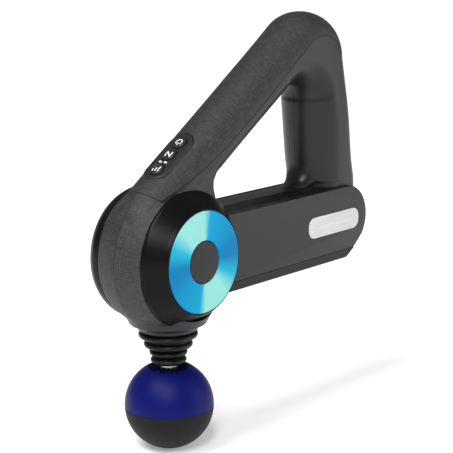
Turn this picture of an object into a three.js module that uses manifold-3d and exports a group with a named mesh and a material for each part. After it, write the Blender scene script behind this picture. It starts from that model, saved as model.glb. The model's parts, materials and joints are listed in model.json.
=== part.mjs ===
// A handheld percussive massage gun with a triangular handle: a round motor drum, a sloping grip
// arm with three buttons, a rear arm, a battery bar, and a ball head on a driven rod.
// Millimetres, +Z up. Everything is drawn about the drum centre, with the motor axis along Y and
// the rod along Z, and the whole part is then moved so that its origin is the bottom centre of its
// box.
import * as THREE from "three";
import { mergeVertices } from "three/addons/utils/BufferGeometryUtils.js";
import Module from "manifold-3d";

const wasm = await Module();
wasm.setup();

// ---------------------------------------------------------------- driving dimensions
const GAP = 0.3; // clearance between pieces that touch on the real object
const TURNS = 40; // facets of a large round piece
const SMALL_TURNS = 16; // facets of a small round piece
const BALL_TURNS = 32; // facets of the ball
const FAR = 400; // reach of a cutting solid
const FINE = 0.06; // slivers smaller than this are merged away
const SAME = 0.004; // corners closer than this are one corner

// Drum: its axis is Y, and each half mirrors the other.
const DRUM_CROWN_R = 41.5; // at the middle seam
const DRUM_RIM_R = 37.7; // at the crisp rim of each cover
const DRUM_RIM_Y = 15.8;
const COVER_TOP_R = 28.9; // outer edge of the cover's flat top
const COVER_TOP_Y = 27.3;
const FACE_Y = 27.75; // outer face of the accent ring
const RING_OUTER_R = 28.0;
const RING_INNER_R = 11.9;
const RECESS_Y = 26.1; // floor that the ring and the hub cap sit on
const COVER_INNER_Y = 24.4;
const COVER_WALL_R = 35; // inner radius of a cover where it starts
const COVER_EDGE_Y = 15.7; // the covers start here
const BAND_EDGE_Y = 15.4; // the bands and the barrel of the shells end here
const SKIN = 1.6; // thickness of the bands and of the grip cover
const WALL = 2.5; // thickness of the shells under them
const DRUM_CAVITY_R = 33.2;

// Sloping arm: the direction along it and the direction out of its back.
const ARM_ANGLE = THREE.MathUtils.degToRad(33.5);
const ALONG = new THREE.Vector2(Math.cos(ARM_ANGLE), Math.sin(ARM_ANGLE));
const OUT = new THREE.Vector2(-Math.sin(ARM_ANGLE), Math.cos(ARM_ANGLE));
const ARM_BACK = 44.7; // distance from the drum axis to the arm's back
const ARM_EDGE = 28.5; // distance to the crisp front edge of its inner side
const ARM_HALF_WIDTH = 16.8;
const APEX_HALF_WIDTH = 17.6; // where the arm turns into the apex
const REAR_ARM_HALF_WIDTH = 19.9;

// Handle opening: the apex is an arc about this point.
const APEX = new THREE.Vector2(105, 73.7);
const APEX_EDGE_R = 25;
const CROWN = new THREE.Vector2(118.2, 99.7); // centre of the outer apex arc
const CROWN_R = 26.8;

// Battery bar: it runs along X from the drum.
const BAR_TOP_Z = 22.4; // the spine along the middle of the bar's top
const BAR_LIP_Z = 20.1; // the lip beside each side panel
const BAR_FLOOR_Z = -19.1;
const BAR_HALF_WIDTH = 16.2; // the shells; the side panels stand proud of them
const PANEL_Y = 19.0; // outer face of the side panels
const PANEL_INNER_Y = 16.5;
const BAR_END_R = 19.8;
const BAR_END_X = 143; // centre of the round end
const BAR_END_Z = 0.3;
const PANEL_START_X = 20;
const KEEL_Z = -25.3; // underside of the battery cover
const KEEL_HALF_WIDTH = 16.5;

// Percussion drive: half the stroke is the crank's radius.
const CRANK_R = 6;
const ROD_R = 5;
const NOSE_R = 4.5;
const ROD_SHOULDER_Z = -66.7;
const NECK_Z = -42.2; // mouth of the neck

// Ball head
const BALL_R = 25;
const BALL_Z = -85.2;
const BALL_SPLIT_Z = -85.8;
const CRATER_R = 12.5;
const CRATER_RIM_Z = -63.55;
const CRATER_FLOOR_Z = -67.8;

// Control panel on the arm's back: places are distances along the arm.
const PANEL_AT = 32;
const PANEL_LENGTH = 38;
const PANEL_WIDTH = 16.5;
const BUTTONS = [
  ["power_button", 43],
  ["mode_button", 33],
  ["level_button", 21],
];
const LIGHTS_AT = 27;
const BUTTON_R = 4.2;
// The hole for the panel, and the well under it: distances from the drum axis.
const PANEL_HOLE_LOW = 30;
const PANEL_HOLE_HIGH = 60;
const BOARD_WELL_LOW = 34;

const BOX_CENTRE_X = (BAR_END_X + BAR_END_R - DRUM_CROWN_R) / 2;
const BOX_BOTTOM_Z = BALL_Z - BALL_R;

// ---------------------------------------------------------------- materials
function finish(color, roughness, metalness = 0) {
  return new THREE.MeshStandardMaterial({ color, roughness, metalness });
}
const FINISH = {
  shell: finish(0x3c3c3e, 0.38),
  cover: finish(0x242425, 0.42),
  texture: finish(0x46474a, 0.6),
  keel: finish(0x2e2c34, 0.5),
  accent: finish(0x18aad8, 0.3, 0.9),
  hub: finish(0x444446, 0.55),
  silver: finish(0xd2d2d2, 0.35, 0.8),
  rubber: finish(0x161616, 0.6),
  blue: finish(0x141e6e, 0.6),
  steel: finish(0xb8bbc0, 0.25, 1),
  copper: finish(0xb4693a, 0.4, 0.9),
  board: finish(0x1e5a38, 0.5),
  cell: finish(0x2a6bb0, 0.45),
  light: finish(0xf2f4f6, 0.3),
  bronze: finish(0xa8824a, 0.45, 0.8),
};

// ---------------------------------------------------------------- solids and booleans
function solid(geometry) {
  const bare = geometry.index ? geometry.toNonIndexed() : geometry.clone();
  bare.deleteAttribute("normal");
  bare.deleteAttribute("uv");
  const merged = mergeVertices(bare, 1e-4);
  const made = new wasm.Manifold(
    new wasm.Mesh({
      numProp: 3,
      vertProperties: merged.attributes.position.array,
      triVerts: new Uint32Array(merged.index.array),
    }),
  );
  if (made.volume() < 0) throw new Error("a solid is inside out");
  return made;
}

function joined(...parts) {
  return parts.reduce((all, part) => all.add(part));
}

function cut(body, ...tools) {
  return tools.reduce((rest, tool) => rest.subtract(tool), body);
}

const model = new THREE.Group();
const drawn = new THREE.Group(); // holds everything in drum-centred coordinates
drawn.position.set(-BOX_CENTRE_X, 0, -BOX_BOTTOM_Z);
model.add(drawn);

// Corners in the same place made one, and the triangles that lose their area dropped.
function welded(geometry) {
  const merged = mergeVertices(geometry, SAME);
  const corners = merged.index.array;
  const kept = [];
  for (let i = 0; i < corners.length; i += 3) {
    const [a, b, c] = corners.slice(i, i + 3);
    if (a !== b && b !== c && c !== a) kept.push(a, b, c);
  }
  merged.setIndex(kept);
  return merged;
}

function place(name, body, material) {
  const { numProp, numVert, vertProperties, triVerts } = body.simplify(FINE).getMesh();
  const points = new Float32Array(numVert * 3);
  for (let i = 0; i < numVert; i++) {
    points.set(vertProperties.subarray(i * numProp, i * numProp + 3), i * 3);
  }
  const geometry = new THREE.BufferGeometry();
  geometry.setAttribute("position", new THREE.BufferAttribute(points, 3));
  geometry.setIndex(new THREE.BufferAttribute(triVerts, 1));
  const clean = welded(geometry);
  clean.computeVertexNormals();
  const mesh = new THREE.Mesh(clean, material);
  mesh.name = name;
  drawn.add(mesh);
}

function block(x0, x1, y0, y1, z0, z1) {
  const box = new THREE.BoxGeometry(x1 - x0, y1 - y0, z1 - z0);
  return solid(box.translate((x0 + x1) / 2, (y0 + y1) / 2, (z0 + z1) / 2));
}

// A profile of [radius, height] pairs turned about Y, or about Z. It closes on itself or the axis.
function latheGeometry(profile, turns) {
  return new THREE.LatheGeometry(
    profile.map(([r, h]) => new THREE.Vector2(r, h)),
    turns,
  );
}

function aboutY(profile, turns = TURNS) {
  return solid(latheGeometry(profile, turns));
}

function aboutZ(profile, turns = TURNS) {
  return solid(latheGeometry(profile, turns).rotateX(Math.PI / 2));
}

// Closed profiles of a rod and of a tube, both with the outside on the right of the way up.
function rodProfile(r, low, high) {
  return [[0, low], [r, low], [r, high], [0, high]];
}

function tubeProfile(inner, outer, low, high) {
  return [[outer, low], [outer, high], [inner, high], [inner, low], [outer, low]];
}

function rodY(r, y0, y1, x = 0, z = 0, turns = SMALL_TURNS) {
  return solid(latheGeometry(rodProfile(r, y0, y1), turns).translate(x, 0, z));
}

function rodZ(r, z0, z1, x = 0, y = 0, turns = SMALL_TURNS) {
  return solid(latheGeometry(rodProfile(r, z0, z1), turns).rotateX(Math.PI / 2).translate(x, y, 0));
}

function rodX(r, x0, x1, y = 0, z = 0, turns = SMALL_TURNS) {
  const lying = latheGeometry(rodProfile(r, -x1, -x0), turns).rotateZ(Math.PI / 2);
  return solid(lying.translate(0, y, z));
}

// A closed outline in the X-Z plane, pushed out along Y from y0 to y1.
function sidePrism(shape, y0, y1, bevel = 0, curveSegments = 12) {
  const geometry = new THREE.ExtrudeGeometry(shape, {
    depth: y1 - y0 - 2 * bevel,
    bevelEnabled: bevel > 0,
    bevelThickness: bevel,
    bevelSize: bevel,
    bevelOffset: -bevel,
    bevelSegments: 2,
    curveSegments,
  });
  return solid(geometry.rotateX(Math.PI / 2).translate(0, y1 - bevel, 0));
}

// A closed outline in the Y-Z plane, pushed out along X from x0 to x1.
function endPrism(points, x0, x1) {
  const shape = new THREE.Shape(points.map(([y, z]) => new THREE.Vector2(y, z)));
  const geometry = new THREE.ExtrudeGeometry(shape, { depth: x1 - x0, bevelEnabled: false });
  const turn = new THREE.Matrix4().makeBasis(
    new THREE.Vector3(0, 1, 0),
    new THREE.Vector3(0, 0, 1),
    new THREE.Vector3(1, 0, 0),
  );
  return solid(geometry.applyMatrix4(turn).translate(x0, 0, 0));
}

// A closed outline in the X-Y plane, pushed up from z0 to z1.
function planPrism(shape, z0, z1) {
  const geometry = new THREE.ExtrudeGeometry(shape, { depth: z1 - z0, bevelEnabled: false });
  return solid(geometry.translate(0, 0, z0));
}

function polygon(points) {
  return new THREE.Shape(points.map(([x, z]) => new THREE.Vector2(x, z)));
}

// A stadium of the given length and width about the origin.
function stadium(length, width) {
  const r = width / 2;
  const reach = length / 2 - r;
  const shape = new THREE.Shape();
  shape.moveTo(-reach, -r);
  shape.lineTo(reach, -r);
  shape.absarc(reach, 0, r, -Math.PI / 2, Math.PI / 2, false);
  shape.lineTo(-reach, r);
  shape.absarc(-reach, 0, r, Math.PI / 2, (3 * Math.PI) / 2, false);
  return shape;
}

// Rings of points, one after another, skinned into one closed body with flat end caps.
function loft(rings) {
  const count = rings[0].length;
  const points = rings.flat();
  const faces = [];
  for (let i = 0; i + 1 < rings.length; i++) {
    for (let j = 0; j < count; j++) {
      const a = i * count + j;
      const b = i * count + ((j + 1) % count);
      faces.push(a, b + count, b, a, a + count, b + count);
    }
  }
  const last = (rings.length - 1) * count;
  for (let j = 1; j + 1 < count; j++) {
    faces.push(0, j, j + 1);
    faces.push(last, last + j + 1, last + j);
  }
  const geometry = new THREE.BufferGeometry().setFromPoints(points);
  geometry.setIndex(faces);
  return solid(geometry);
}

// ---------------------------------------------------------------- handle
// A station is one cross-section of the handle: a point on the crisp front edge of the opening,
// the direction out of the opening, how far the back lies from that edge, how deep the back's
// rounding and the inner side's bulge are, and half the width.
function station(edge, out, back, rounding, bulge, halfWidth) {
  return { edge, out, back, rounding, bulge, halfWidth };
}

// The inner side swells from a crisp edge; a higher power makes the edge blunter.
const BULGE_POWER = 1.3;

// The cross-section's outline, moved inwards by inset all round.
function sectionRing({ edge, out, back, rounding, bulge, halfWidth }, inset, steps) {
  const width = halfWidth - inset;
  const outerDepth = rounding - inset;
  const innerDepth = bulge - inset;
  const ring = [];
  const point = (depth, y) => {
    ring.push(new THREE.Vector3(edge.x + out.x * depth, y, edge.y + out.y * depth));
  };
  for (let i = 0; i <= steps; i++) {
    const angle = (Math.PI * i) / steps;
    point(back - rounding + outerDepth * Math.sin(angle), -width * Math.cos(angle));
  }
  for (let i = 0; i <= steps; i++) {
    const angle = (Math.PI * i) / steps;
    point(-innerDepth * Math.max(Math.sin(angle), 0) ** BULGE_POWER, width * Math.cos(angle));
  }
  return ring;
}

// How far the handle's back lies from the apex point, along a ray at this angle, and how squarely
// the ray meets it.
function backAlong(angle) {
  const ray = new THREE.Vector2(Math.cos(angle), Math.sin(angle));
  const toSlope = (ARM_BACK - APEX.dot(OUT)) / Math.max(ray.dot(OUT), 1e-6);
  const toRear = (REAR_BACK_DISTANCE - APEX.dot(REAR_OUT)) / Math.max(ray.dot(REAR_OUT), 1e-6);
  const offset = CROWN.clone().sub(APEX);
  const middle = offset.dot(ray);
  const reach = Math.sqrt(Math.max(middle ** 2 - offset.lengthSq() + CROWN_R ** 2, 0));
  const slopeTouch = CROWN.clone().addScaledVector(OUT, CROWN_R).sub(APEX).angle();
  const rearTouch = CROWN.clone().addScaledVector(REAR_OUT, CROWN_R).sub(APEX).angle();
  if (angle >= slopeTouch) return { distance: toSlope, square: ray.dot(OUT) };
  if (angle <= rearTouch) return { distance: toRear, square: ray.dot(REAR_OUT) };
  const normal = ray.clone().multiplyScalar(middle + reach).sub(offset).normalize();
  return { distance: middle + reach, square: ray.dot(normal) };
}

// The rear arm's back is a line that leans out towards the bar.
const REAR_LEAN = Math.atan2(5.5, 35);
const REAR_OUT = new THREE.Vector2(Math.cos(REAR_LEAN), Math.sin(REAR_LEAN));
const REAR_BACK_DISTANCE = new THREE.Vector2(150, 70).dot(REAR_OUT);

const SLOPE_BULGE = 12.8;
const APEX_BULGE = 17.5;
const SLOPE_ROUNDING = 14.7;
const REAR_ROUNDING = 12;

// Each row: distance along the arm, distance of its back from the drum axis, half width.
const SLOPE_STATIONS = [
  [-22, 31, 14],
  [-14, 39, 15.2],
  [-5, 43.3, 15.8],
  [5, 44.5, 16],
  [20, ARM_BACK, 16.3],
  [50, ARM_BACK, ARM_HALF_WIDTH],
  [80, ARM_BACK, 17],
  [105, ARM_BACK, 17.4],
];
const APEX_STEPS = 7;
// Each row: height, edge X, back X, bulge, half width.
const REAR_STATIONS = [
  [60, 132.3, 151.8, 19.1, 19.8],
  [46, 133.4, 154, 19.5, 19.2],
  [36, 134.2, 155.9, 19.5, 18.7],
  [30, 134.6, 158, 19, 18],
  [25, 134.8, 160, 18.5, 17.2],
  [21.5, 134.8, 161.4, 18, 16.4],
  [6, 134.8, 162.2, 18, 15.9],
];

const handleStations = [];
for (const [along, back, halfWidth] of SLOPE_STATIONS) {
  const edge = OUT.clone().multiplyScalar(ARM_EDGE).addScaledVector(ALONG, along);
  const rounding = Math.min(SLOPE_ROUNDING, back - ARM_EDGE - 1);
  handleStations.push(station(edge, OUT, back - ARM_EDGE, rounding, SLOPE_BULGE, halfWidth));
}
for (let i = 0; i <= APEX_STEPS; i++) {
  const share = i / APEX_STEPS;
  const angle = (Math.PI / 2 + ARM_ANGLE) * (1 - share);
  const out = new THREE.Vector2(Math.cos(angle), Math.sin(angle));
  const { distance, square } = backAlong(angle);
  handleStations.push(
    station(
      APEX.clone().addScaledVector(out, APEX_EDGE_R),
      out,
      distance - APEX_EDGE_R,
      THREE.MathUtils.lerp(SLOPE_ROUNDING, REAR_ROUNDING, share) / square,
      THREE.MathUtils.lerp(SLOPE_BULGE, APEX_BULGE, share),
      THREE.MathUtils.lerp(APEX_HALF_WIDTH, REAR_ARM_HALF_WIDTH, share),
    ),
  );
}
const REAR_SECTION_OUT = new THREE.Vector2(1, 0);
for (const [z, edgeX, backX, bulge, halfWidth] of REAR_STATIONS) {
  const edge = new THREE.Vector2(edgeX, z);
  handleStations.push(
    station(edge, REAR_SECTION_OUT, backX - edgeX, REAR_ROUNDING, bulge, halfWidth),
  );
}

function handle(inset, steps = 6, first = 0) {
  return loft(handleStations.slice(first).map((each) => sectionRing(each, inset, steps)));
}

// The foot of the rear arm runs out along the bar's spine as a tongue. Each row: height, reach
// towards the drum, half width.
const FOOT_X = 134;
const FOOT_BACK_X = 146;
const FOOT_STEPS = 10;
const FOOT = [
  [40, 18.6, 17.9],
  [36, 19.1, 18.2],
  [33, 19.35, 17.6],
  [30, 20, 16.8],
  [27, 21.8, 15.4],
  [25, 24.2, 13.8],
  [23.6, 28, 12],
  [22.6, 33, 10.5],
  [22, 38, 9.5],
];
function footRing([z, reach, halfWidth]) {
  const ring = [new THREE.Vector3(FOOT_BACK_X, halfWidth, z)];
  for (let i = 0; i <= FOOT_STEPS; i++) {
    const angle = (Math.PI * i) / FOOT_STEPS;
    const x = FOOT_X - reach * Math.max(Math.sin(angle), 0) ** BULGE_POWER;
    ring.push(new THREE.Vector3(x, halfWidth * Math.cos(angle), z));
  }
  ring.push(new THREE.Vector3(FOOT_BACK_X, -halfWidth, z));
  return ring;
}

// ---------------------------------------------------------------- drum, neck and bar outlines
// Radius of the crowned band at a distance from the middle seam.
function crownRadius(y) {
  const share = Math.abs(y) / DRUM_RIM_Y;
  return DRUM_CROWN_R - (DRUM_CROWN_R - DRUM_RIM_R) * (0.45 * share + 0.55 * share ** 2);
}

function crownProfile(inset, reach) {
  const heights = [-reach, -reach / 2, 0, reach / 2, reach];
  return heights.map((y) => [crownRadius(y) - inset, y]);
}

function drumBarrel(inset, reach = BAND_EDGE_Y) {
  return aboutY([[0, -reach], ...crownProfile(inset, reach), [0, reach]]);
}

const NECK_PROFILE = [
  [0, NECK_Z],
  [15.6, NECK_Z],
  [16.4, NECK_Z + 0.7],
  [17.2, NECK_Z + 2.2],
  [21.4, NECK_Z + 4.8],
  [22.4, NECK_Z + 6.4],
  [25, NECK_Z + 11],
  [26, -20],
  [0, -20],
];

// Outline of the bar's shells seen from the side.
const BAR_START_X = 8;
const BAR_SIDE = [
  [BAR_START_X, BAR_FLOOR_Z],
  [151.4, BAR_FLOOR_Z],
  [158.2, -12.6],
  [161.2, -7.4],
  [162.7, 0],
  [162, 6],
  [160, 10.5],
  [156.6, 15],
  [151.5, 18.7],
  [147, BAR_LIP_Z],
  [143, BAR_TOP_Z],
  [BAR_START_X, BAR_TOP_Z],
];
// Its cross-section: a flat spine between two slopes, with a crease and a lip at each edge.
const SPINE_HALF_WIDTH = 7;
const CREASE_Y = 13.8;
const CREASE_Z = 19.8;
const LIP_Y = 15.2;
const BAR_EDGE_Z = 19.2;
const BAR_SECTION = [
  [-BAR_HALF_WIDTH, BAR_FLOOR_Z],
  [BAR_HALF_WIDTH, BAR_FLOOR_Z],
  [BAR_HALF_WIDTH, BAR_EDGE_Z],
  [LIP_Y, BAR_LIP_Z],
  [CREASE_Y, CREASE_Z],
  [SPINE_HALF_WIDTH, BAR_TOP_Z],
  [-SPINE_HALF_WIDTH, BAR_TOP_Z],
  [-CREASE_Y, CREASE_Z],
  [-LIP_Y, BAR_LIP_Z],
  [-BAR_HALF_WIDTH, BAR_EDGE_Z],
];
// Its outline from above: the end's two corners are rounded.
const BAR_CORNER_R = 8;
function barPlan() {
  const x = BAR_END_X + BAR_END_R - BAR_CORNER_R;
  const y = BAR_HALF_WIDTH - BAR_CORNER_R;
  const shape = new THREE.Shape();
  shape.moveTo(BAR_START_X, -BAR_HALF_WIDTH);
  shape.absarc(x, -y, BAR_CORNER_R, -Math.PI / 2, 0, false);
  shape.absarc(x, y, BAR_CORNER_R, 0, Math.PI / 2, false);
  shape.lineTo(BAR_START_X, BAR_HALF_WIDTH);
  return shape;
}

// Outline of a side panel: straight top, round end, sloping toe.
function panelOutline() {
  const toe = THREE.MathUtils.degToRad(-38);
  const shape = new THREE.Shape();
  shape.moveTo(PANEL_START_X, BAR_FLOOR_Z);
  shape.lineTo(150.6, BAR_FLOOR_Z);
  shape.absarc(BAR_END_X, BAR_END_Z, BAR_END_R, toe, Math.PI / 2, false);
  shape.lineTo(PANEL_START_X, BAR_END_R + BAR_END_Z);
  return shape;
}

// The web that fills the corner between the arm and the drum.
const WEB = [
  [-8, 20],
  [25.5, 16],
  [24.6, 24],
  [23.8, 30.7],
  [22.4, 35.8],
  [22.6, 40],
  [28, 48.6],
  [13, 43.5],
  [-8, 36],
];
const WEB_HALF_WIDTH = 15.6;

// ---------------------------------------------------------------- textured skins
// A point at a distance out from the drum axis and a distance along the arm.
function onArm(out, along) {
  return [OUT.x * out + ALONG.x * along, OUT.y * out + ALONG.y * along];
}

// The grip cover takes the arm's back, the apex and a narrowing strip down the rear arm.
function gripRegion(grow) {
  const edge = ARM_EDGE + 1.9 - grow;
  return polygon([
    onArm(80, 2.2 - grow),
    onArm(46, 2.2 - grow),
    onArm(38.6, 3.8 - grow),
    onArm(35.2 - grow, 20),
    onArm(32.4 - grow, 38),
    onArm(edge + 0.2, 60),
    onArm(edge, 100),
    [99.2 + grow * 0.5, 104.2 - grow],
    [108.4, 110.9 - grow],
    [116.6 - grow * 0.2, 113.2 - grow],
    [123.8 - grow * 0.5, 112.2 - grow],
    [130.2 - grow * 0.8, 109.2 - grow * 0.6],
    [135.2 - grow, 103.6],
    [138.4 - grow, 96],
    [141.6 - grow, 82],
    [145.4 - grow, 58],
    [150 - grow, 36 - grow],
    [200, 36 - grow],
    [200, 160],
    [60, 200],
  ]);
}

// The bands wrap the drum's back from the grip cover round to the neck.
function bandRegion(grow) {
  return polygon([
    onArm(60, 1.8 + grow),
    onArm(46, 1.8 + grow),
    onArm(38.6, 3.4 + grow),
    onArm(20, 3.4 + grow),
    [-4, 4],
    [-14.5 + grow, -20],
    [-20.6 + grow, -34],
    [-24 + grow, -46],
    [-80, -46],
    [-80, 40],
  ]);
}

// Keeps one body where a cut leaves slivers beside it.
function largest(body) {
  return body.decompose().reduce((best, each) => (each.volume() > best.volume() ? each : best));
}

// Turns a shape drawn flat into one that lies on the arm's back: local X runs along the arm, local
// Z points out of it, from the distance low to the distance high.
function layOnArm(geometry, low, along) {
  const turn = new THREE.Matrix4().makeBasis(
    new THREE.Vector3(ALONG.x, 0, ALONG.y),
    new THREE.Vector3(0, 1, 0),
    new THREE.Vector3(OUT.x, 0, OUT.y),
  );
  const [x, z] = onArm(low, along);
  return solid(geometry.applyMatrix4(turn).translate(x, 0, z));
}

function armPlate(shape, low, high, bevel = 0, along = PANEL_AT) {
  const geometry = new THREE.ExtrudeGeometry(shape, {
    depth: high - low - 2 * bevel,
    bevelEnabled: bevel > 0,
    bevelThickness: bevel,
    bevelSize: bevel,
    bevelOffset: -bevel,
    bevelSegments: 1,
    curveSegments: 7,
  });
  return layOnArm(geometry, low + bevel, along);
}

function armRod(r, low, high, along) {
  const standing = latheGeometry(rodProfile(r, 0, high - low), SMALL_TURNS).rotateX(Math.PI / 2);
  return layOnArm(standing, low, along);
}

// The outer side of a drum cover: the front one is a plain cone, the rear one is domed.
const FRONT_COVER = [
  [DRUM_RIM_R, COVER_EDGE_Y],
  [COVER_TOP_R, COVER_TOP_Y],
];
const REAR_COVER = [
  [DRUM_RIM_R, COVER_EDGE_Y],
  [37, 20.5],
  [34.8, 24.5],
  [31.6, 26.7],
  [29.5, COVER_TOP_Y],
];

// Cover of one drum end, grown by a clearance when it is used to cut its neighbours.
function coverTool(side, grow) {
  const outer = side > 0 ? REAR_COVER : FRONT_COVER;
  const profile = [
    [0, COVER_EDGE_Y - grow],
    [DRUM_RIM_R + grow, COVER_EDGE_Y - grow],
    ...outer.slice(1).map(([r, y]) => [r + grow, y]),
    [0, COVER_TOP_Y],
  ];
  return aboutY(facing(profile, side));
}

// A profile drawn for the +Y side, turned round for the -Y side when side is -1.
function facing(profile, side) {
  const turned = profile.map(([r, y]) => [r, y * side]);
  return side > 0 ? turned : turned.reverse();
}

const envelope = joined(drumBarrel(0), handle(0));
const skinFloor = joined(drumBarrel(SKIN), handle(SKIN));
const shellBase = joined(drumBarrel(SKIN + GAP), handle(SKIN + GAP));
const coverTools = joined(coverTool(1, GAP), coverTool(-1, GAP));
const skin = cut(envelope, skinFloor);
const wholePanelHole = armPlate(
  stadium(PANEL_LENGTH + 2 * GAP, PANEL_WIDTH + 2 * GAP),
  PANEL_HOLE_LOW,
  PANEL_HOLE_HIGH,
);

const gripCover = largest(
  cut(skin.intersect(sidePrism(gripRegion(0), -FAR, FAR)), wholePanelHole, coverTools),
);
const neck = aboutZ(NECK_PROFILE);
const neckSpace = aboutZ(NECK_PROFILE.map(([r, z]) => [r > 0 ? r + GAP : 0, z]));
const band = cut(skin.intersect(sidePrism(bandRegion(0), -FAR, FAR)), coverTools, neckSpace);
function halfBand(side) {
  const low = side > 0 ? GAP / 2 : -BAND_EDGE_Y;
  const high = side > 0 ? BAND_EDGE_Y : -GAP / 2;
  return largest(band.intersect(block(-FAR, FAR, low, high, -FAR, FAR)));
}

// ---------------------------------------------------------------- shells
const bar = sidePrism(polygon(BAR_SIDE), -BAR_HALF_WIDTH, BAR_HALF_WIDTH)
  .intersect(endPrism(BAR_SECTION, 0, 170))
  .intersect(planPrism(barPlan(), -FAR, FAR));
const web = sidePrism(polygon(WEB), -WEB_HALF_WIDTH, WEB_HALF_WIDTH, 1);
const foot = loft(FOOT.map(footRing));
const bareEnvelope = cut(
  envelope,
  sidePrism(gripRegion(GAP), -FAR, FAR),
  sidePrism(bandRegion(GAP), -FAR, FAR),
);
const outside = joined(bareEnvelope, shellBase, bar, web, foot, neck);

// The room inside the bar, with its lower end cut back to follow the toe.
const ROOM_SIDE = [
  [20, -16.6],
  [148.5, -16.6],
  [155.4, -10.6],
  [158.6, -4],
  [158.6, 6],
  [151, 13],
  [144, 18],
  [20, 18],
];
const ROOM_HALF_WIDTH = 13.7;
const ROOM_STEPS = 4;
const FIRST_ROOM_STATION = 3; // the arm is hollow from here on
const room = joined(
  aboutY(rodProfile(DRUM_CAVITY_R, -FAR, FAR)),
  sidePrism(polygon(ROOM_SIDE), -ROOM_HALF_WIDTH, ROOM_HALF_WIDTH),
  handle(SKIN + GAP + WALL, ROOM_STEPS, FIRST_ROOM_STATION),
);
const GUIDE_R = 12;
const GUIDE_TOP_Z = -19.2;
const neckBore = rodZ(GUIDE_R + GAP, NECK_Z - 1, -20);
const BATTERY_HATCH = block(46.5, 128, -12.4, 12.4, -21, -16);
const SOCKET_Z = 3.2;
const SOCKET_R = 4.6;
const socketHole = rodX(SOCKET_R + GAP, 150, 166, 0, SOCKET_Z);
const boardWell = armPlate(
  stadium(PANEL_LENGTH - 2, PANEL_WIDTH - 2),
  BOARD_WELL_LOW,
  PANEL_HOLE_HIGH,
);

const VENT_SLITS = [94, 97.6, 101.2, 104.8];
const VENT_WIDTH = 1.3;
const VENT_INNER_Y = 7.3;
const VENT_OUTER_Y = 13.9;
const VENT_LOW_Z = 17;
const VENT_HIGH_Z = 24;
function ventSlits() {
  const slits = [];
  for (const x of VENT_SLITS) {
    const end = x + VENT_WIDTH;
    slits.push(block(x, end, -VENT_OUTER_Y, -VENT_INNER_Y, VENT_LOW_Z, VENT_HIGH_Z));
    slits.push(block(x, end, VENT_INNER_Y, VENT_OUTER_Y, VENT_LOW_Z, VENT_HIGH_Z));
  }
  return joined(...slits);
}

const COVER_SCREWS = [
  [42.5, -10.5],
  [42.5, 10.5],
  [138, -10.5],
  [138, 10.5],
];
const SCREW_SHANK_R = 1.2;
const screwHoles = joined(
  ...COVER_SCREWS.map(([x, y]) => rodZ(SCREW_SHANK_R + GAP, -22, -16, x, y)),
);

const housing = cut(
  outside,
  room,
  coverTools,
  neckBore,
  BATTERY_HATCH,
  socketHole,
  boardWell,
  wholePanelHole,
  ventSlits(),
  screwHoles,
);

const frontHalf = block(-FAR, FAR, -FAR, -GAP / 2, -FAR, FAR);
const rearHalf = block(-FAR, FAR, GAP / 2, FAR, -FAR, FAR);
place("front_shell", largest(housing.intersect(frontHalf)), FINISH.shell);
place("rear_shell", largest(housing.intersect(rearHalf)), FINISH.shell);
place("front_drum_band", halfBand(-1), FINISH.texture);
place("rear_drum_band", halfBand(1), FINISH.texture);
place("grip_cover", gripCover, FINISH.texture);

// ---------------------------------------------------------------- drum ends
const MOTOR_SCREW_R = 21.2; // of the circle that the three screws stand on
const MOTOR_SHANK_R = 1.1;
const MOTOR_SCREW_ANGLES = [90, 210, 330];
function motorScrewAt(degrees) {
  const angle = THREE.MathUtils.degToRad(degrees);
  return [MOTOR_SCREW_R * Math.cos(angle), MOTOR_SCREW_R * Math.sin(angle)];
}

function drumCover(side) {
  const profile = [
    [0, COVER_INNER_Y],
    [26.4, COVER_INNER_Y],
    [COVER_WALL_R, COVER_EDGE_Y],
    ...(side > 0 ? REAR_COVER : FRONT_COVER),
    [RING_OUTER_R + GAP, COVER_TOP_Y],
    [RING_OUTER_R + GAP, RECESS_Y],
    [0, RECESS_Y],
  ];
  return aboutY(facing(profile, side));
}

function accentRing(side) {
  const low = RECESS_Y + GAP;
  const profile = [
    [RING_OUTER_R, low],
    [RING_OUTER_R, FACE_Y],
    [RING_INNER_R, FACE_Y],
    [RING_INNER_R, low],
    [RING_OUTER_R, low],
  ];
  return aboutY(facing(profile, side));
}

function hubCap(side) {
  const low = RECESS_Y + GAP;
  const edge = RING_INNER_R - GAP;
  const profile = [
    [0, low],
    [edge, low],
    [edge, FACE_Y - 0.2],
    [0, FACE_Y - 0.2],
  ];
  return aboutY(facing(profile, side));
}

const rearCoverHoles = MOTOR_SCREW_ANGLES.map((degrees) => {
  const [x, z] = motorScrewAt(degrees);
  return rodY(MOTOR_SHANK_R + GAP, COVER_INNER_Y - 1, RECESS_Y - 0.2, x, z);
});
place("front_drum_cover", drumCover(-1), FINISH.cover);
place("rear_drum_cover", cut(drumCover(1), ...rearCoverHoles), FINISH.cover);
place("front_accent_ring", accentRing(-1), FINISH.accent);
place("rear_accent_ring", accentRing(1), FINISH.accent);
place("front_hub_cap", hubCap(-1), FINISH.hub);
place("rear_hub_cap", hubCap(1), FINISH.hub);

// ---------------------------------------------------------------- bar: panels, plate, cover
const PLATE = { x: 128.8, z: -0.6, length: 50.5, height: 12.8, depth: 1 };

function sidePanel(side) {
  const low = side > 0 ? PANEL_INNER_Y : -PANEL_Y;
  const high = side > 0 ? PANEL_Y : -PANEL_INNER_Y;
  return cut(sidePrism(panelOutline(), low, high, 0.9, 10), coverTools);
}

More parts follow.
